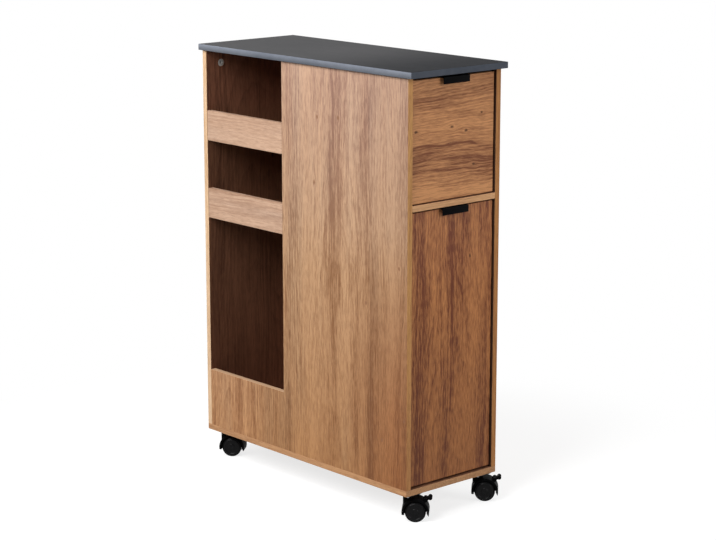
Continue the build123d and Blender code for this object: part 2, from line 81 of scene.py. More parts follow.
class Graph:
    """Adds nodes to one tree and links them."""

    def __init__(self, tree):
        self.tree = tree

    def add(self, kind, inputs=None, **settings):
        """A new node of that kind with those settings and inputs."""
        node = self.tree.nodes.new(kind)
        for name, value in settings.items():
            setattr(node, name, value)
        for name, value in (inputs or {}).items():
            self.feed(node.inputs[name], value)
        return node

    def feed(self, socket, value):
        """Links an output to the socket, or sets the socket's value."""
        if isinstance(value, bpy.types.NodeSocket):
            self.tree.links.new(value, socket)
        else:
            socket.default_value = value

    def math(self, operation, *values):
        """A math node's result."""
        return self.add("ShaderNodeMath", dict(enumerate(values)), operation=operation).outputs[0]

    def plus(self, first, second):
        """The sum of two numbers."""
        return self.math("ADD", first, second)

    def minus(self, first, second):
        """The first number less the second."""
        return self.math("SUBTRACT", first, second)

    def times(self, first, second):
        """The product of two numbers."""
        return self.math("MULTIPLY", first, second)

    def line(self, value, slope, start):
        """The value times a slope, plus a start."""
        return self.math("MULTIPLY_ADD", value, slope, start)

    def bell(self, ratio):
        """One where the ratio is nought, falling to nought on both sides."""
        return self.math("EXPONENT", self.times(self.times(ratio, ratio), -1.0))

    def vector(self, operation, *values):
        """A vector math node's result."""
        node = self.add("ShaderNodeVectorMath", dict(enumerate(values)), operation=operation)
        return node.outputs["Value" if operation == "LENGTH" else "Vector"]

    def slid(self, vector, amount):
        """The vector moved along its first axis."""
        return self.vector("ADD", vector, self.combine(amount, 0.0, 0.0))

    def mix(self, factor, first, second, blend="MIX"):
        """Two colours mixed by a factor."""
        node = self.add("ShaderNodeMix", data_type="RGBA", blend_type=blend)
        sockets = {socket.identifier: socket for socket in node.inputs}
        self.feed(sockets["Factor_Float"], factor)
        self.feed(sockets["A_Color"], first)
        self.feed(sockets["B_Color"], second)
        return node.outputs[2]

    def noise(self, vector, scale, detail=2.0, roughness=0.5):
        """A noise over the vector, with one scale for all axes or one for each."""
        scales = (scale,) * 3 if isinstance(scale, float) else scale
        stretched = self.vector("MULTIPLY", vector, scales)
        inputs = {"Vector": stretched, "Scale": 1.0, "Detail": detail, "Roughness": roughness}
        return self.add("ShaderNodeTexNoise", inputs).outputs["Fac"]

    def remap(self, value, low, high, out_low=0.0, out_high=1.0, smooth=True):
        """The value carried from one range to another and held at its ends."""
        inputs = {"Value": value, "From Min": low, "From Max": high, "To Min": out_low, "To Max": out_high}
        kind = "SMOOTHSTEP" if smooth else "LINEAR"
        return self.add("ShaderNodeMapRange", inputs, interpolation_type=kind).outputs["Result"]

    def combine(self, *numbers):
        """A vector from three numbers."""
        return self.add("ShaderNodeCombineXYZ", dict(enumerate(numbers))).outputs[0]

    def separate(self, vector):
        """The three numbers of a vector."""
        return self.add("ShaderNodeSeparateXYZ", {0: vector}).outputs

    def group(self, tree, **values):
        """The outputs of a group node with its inputs fed by name."""
        return self.add("ShaderNodeGroup", values, node_tree=tree).outputs


def new_tree(name, kind, inputs, outputs):
    """A node group: its graph, its input sockets and its output sockets.

    A socket is given by its type, or by a number where it is a number with that default.
    """
    tree = bpy.data.node_groups.new(name, kind)
    for side, sockets in (("INPUT", inputs), ("OUTPUT", outputs)):
        for label, given in sockets.items():
            plain = isinstance(given, float)
            socket = tree.interface.new_socket(label, in_out=side, socket_type=FLOAT if plain else given)
            if plain:
                socket.default_value = given
    graph = Graph(tree)
    return graph, graph.add("NodeGroupInput").outputs, graph.add("NodeGroupOutput").inputs


def toned(colour, share):
    """The colour with each of its parts times a share."""
    return rgb(*(part * share for part in colour[:3]))


def new_material(name, specular=0.5, metallic=0.0):
    """A material with one principled shader: the material, its graph and the shader."""
    material = bpy.data.materials.new(name)
    material.use_nodes = True
    tree = material.node_tree
    shader = next(node for node in tree.nodes if node.type == "BSDF_PRINCIPLED")
    shader.inputs["Specular IOR Level"].default_value = specular
    shader.inputs["Metallic"].default_value = metallic
    return material, Graph(tree), shader


def surface(graph, shader, colour, roughness, height, depth):
    """Feeds the shader's colour, its roughness, and its normal from a height."""
    graph.feed(shader.inputs["Base Color"], colour)
    graph.feed(shader.inputs["Roughness"], roughness)
    bump = graph.add("ShaderNodeBump", {"Strength": 1.0, "Distance": depth, "Height": height})
    graph.feed(shader.inputs["Normal"], bump.outputs["Normal"])


def object_vector(graph):
    """The point on the piece in its own coordinates."""
    return graph.add("ShaderNodeTexCoord").outputs["Object"]


def object_normal(graph):
    """The surface direction in the piece's own coordinates."""
    return graph.add("ShaderNodeTexCoord").outputs["Normal"]


# Wood foil of the boards

STREAK_FADE = 0.03
FIGURE_OPTIONS = ("heart", "spacing", "start", "slope", "ring", "seed")
MARKS = ("ring", "streak", "fleck", "band")
DARKEST = 1.35
PALEST = -0.1
# Painted shade: a dark oak that stands in for the shade inside the cart, on inner faces and inner boards
OAK_PAINTED_SHADE = (rgb(0.21, 0.095, 0.052), rgb(0.08, 0.032, 0.017))
COOL_TINT = rgb(0.84, 0.93, 1.06)
KNOT_TONE = rgb(0.05, 0.015, 0.006)
PORE_TONE = rgb(0.1, 0.045, 0.022)


def knot_group():
    """Grain bent round a knot, with a mask of the knot's dark heart."""
    inputs = {"Vector": VECTOR, "Centre": VECTOR, "Radius": 0.004}
    graph, taken, given = new_tree("Knot", "ShaderNodeTree", inputs, {"Vector": VECTOR, "Mask": FLOAT})
    point = taken["Vector"]
    x, _, z = graph.separate(graph.vector("SUBTRACT", point, taken["Centre"]))
    flat = graph.combine(x, 0.0, graph.times(z, 0.62))
    distance = graph.math("DIVIDE", graph.vector("LENGTH", flat), taken["Radius"])
    wobble = graph.noise(point, (260.0, 60.0, 180.0))
    distance = graph.plus(distance, graph.line(wobble, 0.9, -0.45))
    pull = graph.times(x, graph.times(graph.bell(graph.times(distance, 0.34)), -0.8))
    graph.feed(given["Vector"], graph.slid(point, pull))
    graph.feed(given["Mask"], graph.remap(distance, 1.25, 0.35))
    return graph.tree


def streak_group():
    """A soft darker streak along the grain, wavering as it goes."""
    inputs = {"Vector": VECTOR, "Across": 0.0, "Width": 0.01, "From": 0.0, "To": 1.0, "Amount": 0.5}
    graph, taken, given = new_tree("Streak", "ShaderNodeTree", inputs, {"Mask": FLOAT})
    point = taken["Vector"]
    x, _, z = graph.separate(point)
    sway = graph.line(graph.noise(point, (9.0, 9.0, 7.0), detail=3.0), 0.05, -0.025)
    across = graph.plus(graph.minus(x, taken["Across"]), sway)
    bell = graph.bell(graph.math("DIVIDE", across, taken["Width"]))
    start, end = taken["From"], taken["To"]
    low = graph.remap(z, graph.minus(start, STREAK_FADE), graph.plus(start, STREAK_FADE))
    high = graph.remap(z, graph.plus(end, STREAK_FADE), graph.minus(end, STREAK_FADE))
    fibre = graph.remap(graph.noise(point, (420.0, 420.0, 9.0), detail=3.0), 0.34, 0.62, 0.25, 1.0)
    window = graph.times(graph.times(low, high), fibre)
    graph.feed(given["Mask"], graph.times(graph.times(bell, window), taken["Amount"]))
    return graph.tree


def figure_group():
    """Growth rings of plain-sawn oak, its fine streaks, bands and pores, with the grain along Z."""
    inputs = {"Vector": VECTOR, "Heart": 0.0, "Spacing": 0.2, "Start": 0.05, "Slope": 0.05, "Ring": 0.0062}
    inputs["Seed"] = VECTOR
    outputs = dict.fromkeys(("Rings", "Streaks", "Flecks", "Bands", "Pores"), FLOAT)
    graph, taken, given = new_tree("Oak figure", "ShaderNodeTree", inputs, outputs)
    place = graph.vector("ADD", taken["Vector"], taken["Seed"])
    slow = graph.noise(place, (5.0, 5.0, 1.6))
    quick = graph.noise(place, (34.0, 34.0, 9.0))
    x, y, z = graph.separate(taken["Vector"])
    warped = graph.plus(x, graph.line(slow, 0.05, -0.025))
    warped = graph.plus(warped, graph.line(quick, 0.007, -0.0035))

    # Each board of the foil has its own heart, and the rings are circles about it
    from_heart = graph.minus(warped, taken["Heart"])
    cell = graph.math("ROUND", graph.math("DIVIDE", from_heart, taken["Spacing"]))
    local = graph.minus(from_heart, graph.times(cell, taken["Spacing"]))
    chance = graph.add("ShaderNodeTexWhiteNoise", {"W": cell}, noise_dimensions="1D").outputs["Value"]
    shift = graph.times(chance, graph.math("ABSOLUTE", cell))
    rise = graph.plus(taken["Start"], graph.times(z, taken["Slope"]))
    rise = graph.plus(graph.plus(rise, graph.times(shift, 0.04)), y)
    rise = graph.plus(rise, graph.line(slow, 0.03, -0.015))
    radius = graph.math("SQRT", graph.plus(graph.times(local, local), graph.times(rise, rise)))
    ring = graph.plus(graph.math("DIVIDE", radius, taken["Ring"]), graph.times(quick, 0.9))
    part = graph.math("FRACT", ring)
    late = graph.times(graph.math("POWER", part, 2.6), graph.remap(part, 1.0, 0.93))
    tone = graph.noise(graph.combine(ring, 0.0, 0.0), 0.7)
    late = graph.times(late, graph.line(tone, 1.4, 0.05))
    fade = graph.noise(place, (22.0, 22.0, 2.4), detail=3.0)
    graph.feed(given["Rings"], graph.times(late, graph.remap(fade, 0.3, 0.66, 0.15, 1.0)))

    swayed = graph.slid(place, graph.minus(warped, x))
    zone = graph.remap(graph.noise(swayed, (13.0, 13.0, 1.7)), 0.36, 0.62, 0.3, 1.0)
    streaks = graph.noise(swayed, (240.0, 240.0, 6.0), detail=4.0, roughness=0.6)
    graph.feed(given["Streaks"], graph.times(graph.remap(streaks, 0.38, 0.66), zone))
    flecks = graph.noise(swayed, (470.0, 470.0, 62.0), roughness=0.6)
    graph.feed(given["Flecks"], graph.remap(flecks, 0.34, 0.66))
    bands = graph.noise(swayed, (26.0, 26.0, 1.3), detail=3.0, roughness=0.6)
    graph.feed(given["Bands"], graph.line(bands, 2.0, -1.0))
    pores = graph.noise(place, (1500.0, 1500.0, 38.0), detail=1.0)
    graph.feed(given["Pores"], graph.remap(pores, 0.6, 0.68))
    return graph.tree


def tinted(graph, parts, colour, shifts):
    """The colour with each shift's tint over its ranges, multiplied unless the shift names a blend."""
    for ranges, tint, *blend in shifts:
        amount = 1.0
        for axis, low, high in ranges:
            amount = graph.times(graph.remap(parts[axis], low, high, smooth=False), amount)
        colour = graph.mix(amount, colour, tint, blend=blend[0] if blend else "MULTIPLY")
    return colour


class Wood:
    """Dresses boards in oak foil made from shared groups."""

    def __init__(self, settings):
        self.settings = settings
        self.knots = knot_group()
        self.streaks = streak_group()
        self.figure = figure_group()

    def finish(self, names, title, axes, tones, **options):
        """Dresses those frame nodes in one oak finish.

        axes are the axes across the grain, through the board and along the grain. tones are the pale and
        dark colours of the faces. options may give seed, heart, spacing, start, slope, ring, knots as
        (across, along, radius), streaks as (across, width, from, to, amount), edges as another pair of
        colours, ledge as the colour of edges that face up, inner as an axis and the side of it whose faces
        are painted in the shaded dark oak, gains for rings, streaks, flecks and bands, sway for how far the
        grain waves, and shifts of the faces', inner faces' or edges' colour, which paint light and shade on
        them, as (ranges of (axis, from, to), colour, blend).
        """
        settings = self.settings
        material, graph, shader = new_material(title, specular=0.2)
        parts = dict(zip("XYZ", graph.separate(object_vector(graph))))
        normal = dict(zip("XYZ", graph.separate(object_normal(graph))))
        vector = graph.combine(*(parts[axis] for axis in axes))
        if "sway" in options:
            wave = graph.minus(graph.noise(vector, (9.0, 9.0, 8.0)), 0.5)
            vector = graph.slid(vector, graph.times(wave, options["sway"]))
        spots = 0.0
        for place, along, radius in options.get("knots", ()):
            made = graph.group(self.knots, Vector=vector, Centre=(place, 0.0, along), Radius=radius)
            vector = made["Vector"]
            spots = graph.math("MAXIMUM", spots, made["Mask"])

        given = {name.title(): options[name] for name in FIGURE_OPTIONS if name in options}
        figure = graph.group(self.figure, Vector=vector, **given)
        dark = 0.0
        for mark, gain in zip(MARKS, options.get("gains", (1.0,) * 4)):
            strength = getattr(settings, f"{mark}_strength") * gain
            dark = graph.line(figure[mark.title() + "s"], strength, dark)
        for place, width, low, high, amount in options.get("streaks", ()):
            values = {"Across": place, "Width": width, "From": low, "To": high, "Amount": amount}
            dark = graph.plus(dark, graph.group(self.streaks, Vector=vector, **values)["Mask"])
        dark = graph.math("MAXIMUM", graph.math("MINIMUM", dark, DARKEST), PALEST)

        colour = graph.mix(dark, *tones)
        cool = graph.remap(graph.noise(vector, (21.0, 21.0, 1.9), detail=3.0), 0.45, 0.75)
        cool = graph.times(cool, options.get("cool", 0.3))
        colour = graph.mix(cool, colour, COOL_TINT, blend="MULTIPLY")
        colour = tinted(graph, parts, colour, options.get("shifts", ()))
        # Painted shade: faces on the inner side get the dark oak in place of the shade inside the cart, with
        # their own painted light and shade shifts
        if "inner" in options:
            axis, side = options["inner"]
            painted_inner_shade = tinted(graph, parts, graph.mix(dark, *OAK_PAINTED_SHADE), options.get("inner_painted_light", ()))
            colour = graph.mix(graph.remap(graph.times(normal[axis], side), 0.6, 0.85), colour, painted_inner_shade)
        if "edges" in options:
            edge = tinted(graph, parts, graph.mix(dark, *options["edges"]), options.get("edge_shifts", ()))
            flat = graph.remap(graph.math("ABSOLUTE", normal[axes[1]]), 0.45, 0.75)
            colour = graph.mix(flat, edge, colour)
        if "ledge" in options:
            colour = graph.mix(graph.remap(normal["Z"], 0.6, 0.85), colour, options["ledge"])
        colour = graph.mix(graph.times(spots, 0.85), colour, options.get("knot_tone", KNOT_TONE))
        pores = graph.times(figure["Pores"], settings.pore_strength)
        colour = graph.mix(pores, colour, PORE_TONE, blend="MULTIPLY")

        smudge = graph.noise(vector, (9.0, 9.0, 4.0), detail=3.0)
        rough = graph.line(smudge, 0.1, options.get("roughness", 0.46))
        rough = graph.line(figure["Pores"], 0.12, rough)
        height = graph.plus(figure["Streaks"], graph.times(figure["Rings"], 0.5))
        height = graph.minus(height, graph.times(figure["Pores"], 1.4))
        surface(graph, shader, colour, rough, height, settings.grain_depth)
        dress(material, *names)


# Pieces and their meshes

WELD_DISTANCE = 2e-6
FLAT_ANGLE = 0.4
BEVEL_ANGLE = 28
BEVEL_STEPS = 3
SMOOTH_ANGLE = 35
MOST_CORNERS = 4


def dress(material, *names):
    """Gives frame nodes their material."""
    for name in names:
        mesh = frame["nodes"][name].data
        mesh.materials.clear()
        mesh.materials.append(material)


def new_piece(name, mesh, material, body, slot, *nodes):
    """Links a mesh as a piece that rides on a body and stands for those frame nodes."""
    mesh.materials.clear()
    mesh.materials.append(material)
    piece = bpy.data.objects.new(name, mesh)
    bpy.context.scene.collection.objects.link(piece)
    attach(piece, body)
    if nodes:
        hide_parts(*nodes)


def welded(node):
    """The frame node's mesh with its split corners joined again."""
    work = bmesh.new()
    work.from_mesh(frame["nodes"][node].data)
    bmesh.ops.remove_doubles(work, verts=work.verts, dist=WELD_DISTANCE)
    return work


def shaded(work, name, angle):
    """A mesh from that work, smooth except over edges sharper than the angle."""
    mesh = bpy.data.meshes.new(name)
    work.to_mesh(mesh)
    work.free()
    mesh.shade_smooth()
    mesh.set_sharp_from_angle(angle=math.radians(angle))
    return mesh


def softened(name, node, width):
    """The frame node's shape with its sharp edges rounded off."""
    work = welded(node)
    flat = math.radians(FLAT_ANGLE)
    bmesh.ops.dissolve_limit(
        work, angle_limit=flat, verts=work.verts, edges=work.edges, use_dissolve_boundaries=False
    )
    least = math.radians(BEVEL_ANGLE)
    sharp = [edge for edge in work.edges if edge.is_manifold and edge.calc_face_angle(0.0) > least]
    bmesh.ops.bevel(
        work,
        geom=sharp,
        offset=width,
        offset_type="OFFSET",
        segments=BEVEL_STEPS,
        profile=0.5,
        affect="EDGES",
        clamp_overlap=True,
    )
    bmesh.ops.triangulate(work, faces=[face for face in work.faces if len(face.verts) > MOST_CORNERS])
    return shaded(work, name, SMOOTH_ANGLE)


def parts_of(node):
    """The lowest and highest corner of every separate solid in a frame node."""
    work = welded(node)
    boxes, seen = [], set()
    for start in work.verts:
        if start.index in seen:
            continue
        seen.add(start.index)
        stack, points = [start], []
        while stack:
            vert = stack.pop()
            points.append(vert.co)
            for edge in vert.link_edges:
                other = edge.other_vert(vert)
                if other.index not in seen:
                    seen.add(other.index)
                    stack.append(other)
        low = Vector(min(point[axis] for point in points) for axis in range(3))
        high = Vector(max(point[axis] for point in points) for axis in range(3))
        boxes.append((low, high))
    work.free()
    return boxes


def lathe(work, profile, centre, axis, count):
    """Turns a closed outline of (along, radius) about an axis through the centre and adds it to the work."""
    axis = axis.normalized()
    side = axis.orthogonal().normalized()
    other = axis.cross(side)
    rings = []
    for along, radius in profile:
        base = centre + axis * along
        if radius == 0.0:
            rings.append([work.verts.new(base)] * count)
            continue
        ring = []
        for step in range(count):
            turn = math.tau * step / count
            ring.append(work.verts.new(base + (side * math.cos(turn) + other * math.sin(turn)) * radius))
        rings.append(ring)
    for first, second in zip(rings, rings[1:] + rings[:1]):
        for step in range(count):
            following = (step + 1) % count
            corners = [first[step], first[following], second[following], second[step]]
            distinct = list(dict.fromkeys(corners))
            if len(distinct) > 2:
                work.faces.new(distinct)


# Geometry nodes for the fasteners

FASTENER_INPUTS = {
    "Points": GEOMETRY,
    "Tip radius": 0.001,
    "Shank radius": 0.0015,
    "Shank length": 0.01,
    "Sink": 0.0001,
    "Head radius": 0.003,
    "Head height": 0.0018,
    "Recess length": 0.003,
    "Recess width": 0.0006,
    "Recess depth": 0.001,
    "Material": MATERIAL,
}
DISC_POINTS = 48
SEAM_DISTANCE = 1e-6
FASTENER_SHARP_ANGLE = 32


def fastener_tree(name):
    """A geometry tree with the fasteners' inputs: its graph, its input and its output sockets."""
    return new_tree(name, "GeometryNodeTree", FASTENER_INPUTS, {"Geometry": GEOMETRY})


def grown(graph, shape, top, height, scale):
    """Extrudes the top faces by a height and scales them."""
    offset = graph.combine(0.0, 0.0, height)
    inputs = {"Mesh": shape, "Selection": top, "Offset": offset, "Offset Scale": 1.0, "Individual": False}
    extrude = graph.add("GeometryNodeExtrudeMesh", inputs, mode="FACES").outputs
    inputs = {"Geometry": extrude["Mesh"], "Selection": extrude["Top"], "Scale": scale}
    resize = graph.add("GeometryNodeScaleElements", inputs, domain="FACE")
    return resize.outputs["Geometry"], extrude["Top"]


def joined(graph, shapes):
    """Those shapes as one."""
    node = graph.add("GeometryNodeJoinGeometry")
    for shape in shapes:
        graph.feed(node.inputs["Geometry"], shape)
    return node.outputs["Geometry"]


def lifted(graph, shape, height):
    """The shape moved up by a height."""
    inputs = {"Geometry": shape, "Translation": graph.combine(0.0, 0.0, height)}
    return graph.add("GeometryNodeTransform", inputs).outputs["Geometry"]


def cross_recess(graph, taken, shape, top):
    """Cuts the cross recess down from a height."""
    length, width = taken["Recess length"], taken["Recess width"]
    bars = []
    for sides in ((length, width), (width, length)):
        size = graph.combine(*sides, graph.times(taken["Recess depth"], 2.0))
        bars.append(graph.add("GeometryNodeMeshCube", {"Size": size}).outputs["Mesh"])
    cutter = lifted(graph, joined(graph, bars), top)
    inputs = {"Mesh 1": shape, "Mesh 2": cutter, "Self Intersection": True}
    cut = graph.add("GeometryNodeMeshBoolean", inputs, operation="DIFFERENCE", solver="EXACT")
    return cut.outputs["Mesh"]


def placed_on_points(graph, taken, given, shape):
    """Puts the shape on every point, turned to its direction and about it, as real geometry."""
    kind = "GeometryNodeInputNamedAttribute"
    direction = graph.add(kind, {"Name": "direction"}, data_type="FLOAT_VECTOR").outputs["Attribute"]
    turn = graph.add(kind, {"Name": "turn"}, data_type="FLOAT").outputs["Attribute"]
    aim = graph.add("FunctionNodeAlignRotationToVector", {"Vector": direction}, axis="Z")
    spin = graph.add("FunctionNodeAxisAngleToRotation", {"Axis": (0.0, 0.0, 1.0), "Angle": turn})
    inputs = {"Rotation": aim.outputs["Rotation"], "Rotate By": spin.outputs["Rotation"]}
    both = graph.add("FunctionNodeRotateRotation", inputs, rotation_space="LOCAL").outputs["Rotation"]
    inputs = {"Points": taken["Points"], "Instance": shape, "Rotation": both}
    copies = graph.add("GeometryNodeInstanceOnPoints", inputs).outputs["Instances"]
    real = graph.add("GeometryNodeRealizeInstances", {"Geometry": copies}).outputs["Geometry"]
    inputs = {"Geometry": real, "Material": taken["Material"]}
    graph.feed(given["Geometry"], graph.add("GeometryNodeSetMaterial", inputs).outputs["Geometry"])


def closed_stack(graph, radius, start, steps):
    """A closed turned solid from a disc at a start height and steps of (height, scale)."""
    inputs = {"Vertices": DISC_POINTS, "Radius": radius}
    disc = graph.add("GeometryNodeMeshCircle", inputs, fill_type="NGON").outputs["Mesh"]
    base = lifted(graph, disc, start)
    shape, top = base, True
    for height, scale in steps:
        shape, top = grown(graph, shape, top, height, scale)
    flipped = graph.add("GeometryNodeFlipFaces", {"Mesh": base}).outputs["Mesh"]
    inputs = {"Geometry": joined(graph, (shape, flipped)), "Distance": SEAM_DISTANCE}
    return graph.add("GeometryNodeMergeByDistance", inputs).outputs["Geometry"]


def portions(graph, whole, pairs):
    """Steps of (height, scale) from pairs of (share of the whole, scale)."""
    return [(graph.times(whole, share), scale) for share, scale in pairs]


def screw_tree():
    """Screws with a pointed shank, a countersink or flat seat, a domed head and a cross recess."""
    graph, taken, given = fastener_tree("Screws")
    shank = taken["Shank radius"]
    length = graph.minus(taken["Shank length"], taken["Sink"])
    tip = graph.times(shank, 2.4)
    height = taken["Head height"]
    steps = [
        (tip, graph.math("DIVIDE", shank, taken["Tip radius"])),
        (graph.minus(length, tip), 1.0),
        (taken["Sink"], graph.math("DIVIDE", taken["Head radius"], shank)),
    ]
    steps += portions(graph, height, ((0.34, 1.0), (0.3, 0.94), (0.22, 0.86), (0.14, 0.72)))
    start = graph.times(taken["Shank length"], -1.0)
    shape = closed_stack(graph, taken["Tip radius"], start, steps)
    placed_on_points(graph, taken, given, cross_recess(graph, taken, shape, height))
    return graph.tree


def cam_tree():
    """Cam discs with a rounded rim, a sunk middle and a cross recess."""
    graph, taken, given = fastener_tree("Cam discs")
    height = taken["Head height"]
    steps = [(graph.minus(taken["Shank length"], height), 1.0)]
    steps += portions(graph, height, ((0.55, 0.985), (0.3, 0.955), (0.15, 0.93)))
    steps += [(0.0, 0.52)]
    steps += portions(graph, taken["Sink"], ((-0.2, 0.94), (-0.8, 0.96)))
    start = graph.times(taken["Shank length"], -1.0)
    shape = closed_stack(graph, taken["Head radius"], start, steps)
    floor = graph.times(taken["Sink"], -1.0)
    placed_on_points(graph, taken, given, cross_recess(graph, taken, shape, floor))
    return graph.tree


def fasteners(name, tree, places, values):
    """The plain mesh of one fastener per place, where a place is (point, direction, turn)."""
    mesh = bpy.data.meshes.new(name)
    mesh.from_pydata([point for point, _, _ in places], [], [])
    mesh.attributes.new("direction", "FLOAT_VECTOR", "POINT")
    mesh.attributes.new("turn", "FLOAT", "POINT")
    for index, (_, direction, turn) in enumerate(places):
        mesh.attributes["direction"].data[index].vector = direction
        mesh.attributes["turn"].data[index].value = turn
    holder = bpy.data.objects.new(name + "_points", mesh)
    bpy.context.scene.collection.objects.link(holder)
    modifier = holder.modifiers.new("Fasteners", "NODES")
    modifier.node_group = tree
    for item in tree.interface.items_tree:
        if item.item_type == "SOCKET" and item.in_out == "INPUT" and item.name in values:
            modifier[item.identifier] = values[item.name]
    ready = holder.evaluated_get(bpy.context.evaluated_depsgraph_get())
    made = bpy.data.meshes.new_from_object(ready)
    made.name = name
    holder.modifiers.remove(modifier)
    bpy.data.objects.remove(holder)
    made.shade_smooth()
    made.set_sharp_from_angle(angle=math.radians(FASTENER_SHARP_ANGLE))
    return made


# Add-on settings


class OakSettings(PropertyGroup):
    """How strongly the wood foil is marked."""

    ring_strength: FloatProperty(name="Ring strength", description="Depth of the growth lines", default=0.45)
    streak_strength: FloatProperty(
        name="Streak strength", description="Depth of the fine streaks", default=0.55
    )
    fleck_strength: FloatProperty(name="Fleck strength", description="Depth of the short flecks", default=0.3)
    band_strength: FloatProperty(name="Band strength", description="Depth of the broad bands", default=0.4)
    pore_strength: FloatProperty(name="Pore strength", description="Depth of the open pores", default=0.35)
    grain_depth: FloatProperty(
        name="Grain depth", description="Height of the pressed grain", default=0.00006, unit="LENGTH"
    )


class CastorSettings(PropertyGroup):
    """Sizes of the castors' own detail."""

    wheel_inner_face: FloatProperty(
        name="Wheel inner face", description="From the middle of the castor", default=0.0065, unit="LENGTH"
    )
    wheel_width: FloatProperty(name="Wheel width", description="Along the axle", default=0.01, unit="LENGTH")
    wheel_radius: FloatProperty(
        name="Wheel radius", description="Over the tread", default=0.02, unit="LENGTH"
    )
    bore_radius: FloatProperty(
        name="Bore radius", description="Hole for the axle", default=0.003, unit="LENGTH"
    )
    bore_depth: FloatProperty(
        name="Bore depth", description="From the inner face", default=0.00705, unit="LENGTH"
    )
    hood_rounding: FloatProperty(
        name="Hood rounding", description="On the hood's edges", default=0.0006, unit="LENGTH"
    )
    lever_rounding: FloatProperty(
        name="Lever rounding", description="On the lever's edges", default=0.0007, unit="LENGTH"
    )


class FixingSettings(PropertyGroup):
    """Sizes of pulls, screws and cam discs. A screw is (shank radius, length, head radius, head height)."""

    pull_rounding: FloatProperty(
        name="Pull rounding", description="On the pull's edges", default=0.0004, unit="LENGTH"
    )
    plate_screw: FloatVectorProperty(
        name="Plate screw", description="Holds a castor plate", size=4, default=(0.0019, 0.009, 0.0035, 0.002)
    )
    base_screw: FloatVectorProperty(
        name="Base screw",
        description="Holds an upright panel",
        size=4,
        default=(0.0022, 0.04, 0.0045, 0.00005),
    )
    base_sink: FloatProperty(
        name="Base screw sink", description="Depth of the countersink", default=0.0023, unit="LENGTH"
    )
    pull_screw: FloatVectorProperty(
        name="Pull screw", description="Holds a pull", size=4, default=(0.0015, 0.01, 0.003, 0.0018)
    )
    cam_radius: FloatProperty(name="Cam radius", description="Of the disc", default=0.0075, unit="LENGTH")
    cam_depth: FloatProperty(name="Cam depth", description="Into the panel", default=0.0095, unit="LENGTH")


class StudioSettings(PropertyGroup):
    """Lamps, floor and camera."""

    key_power: FloatProperty(name="Key power", description="Watts of the key lamp", default=170.0)
    key_size: FloatProperty(name="Key size", description="Side of the key lamp", default=2.2, unit="LENGTH")
    key_distance: FloatProperty(name="Key distance", description="From the cart", default=3.4, unit="LENGTH")
    key_direction: FloatVectorProperty(
        name="Key direction", description="Towards the key lamp", default=(-0.74, -0.07, 0.67)
    )
    fill_power: FloatProperty(name="Fill power", description="Watts of the fill lamp", default=50.0)
    fill_size: FloatProperty(
        name="Fill size", description="Side of the fill lamp", default=1.8, unit="LENGTH"
    )
    fill_distance: FloatProperty(
        name="Fill distance", description="From the cart", default=3.6, unit="LENGTH"
    )
    fill_direction: FloatVectorProperty(
        name="Fill direction", description="Towards the fill lamp", default=(0.34, -0.88, 0.33)
    )
    rear_power: FloatProperty(name="Rear power", description="Watts of the rear lamp", default=60.0)
    rear_size: FloatProperty(
        name="Rear size", description="Side of the rear lamp", default=2.6, unit="LENGTH"
    )
    rear_distance: FloatProperty(
        name="Rear distance", description="From the cart", default=3.8, unit="LENGTH"
    )
    rear_direction: FloatVectorProperty(
        name="Rear direction", description="Towards the rear lamp", default=(0.66, 0.56, 0.5)
    )
    ambient: FloatProperty(name="Ambient", description="Strength of the surrounding light", default=0.2)
    floor_tone: FloatProperty(name="Floor tone", description="Grey of the floor", default=0.3)
    floor_lift: FloatProperty(name="Floor lift", description="White that the camera sees in it", default=0.76)
    lens: FloatProperty(name="Lens", description="Focal length in millimetres", default=105.88)
    camera_place: FloatVectorProperty(
        name="Camera place", description="In the row frame", default=(-2.6724, -3.0192, 1.3175), subtype="XYZ"
    )
    camera_yaw: FloatProperty(
        name="Camera yaw", description="From +Y towards +X", default=math.radians(41.794), subtype="ANGLE"
    )
    camera_pitch: FloatProperty(
        name="Camera pitch", description="Below the horizon", default=math.radians(12.515), subtype="ANGLE"
    )

# Operators


BAND = (rgb(0.606, 0.316, 0.109), rgb(0.395, 0.187, 0.063))
LONG_FACE = (rgb(0.468, 0.283, 0.159), rgb(0.22, 0.104, 0.047))
BOX = (rgb(0.5, 0.29, 0.15), rgb(0.32, 0.16, 0.07))
PAIRED_BOARDS = ("drawer_side", "pullout_side", "upper_tray_rail")

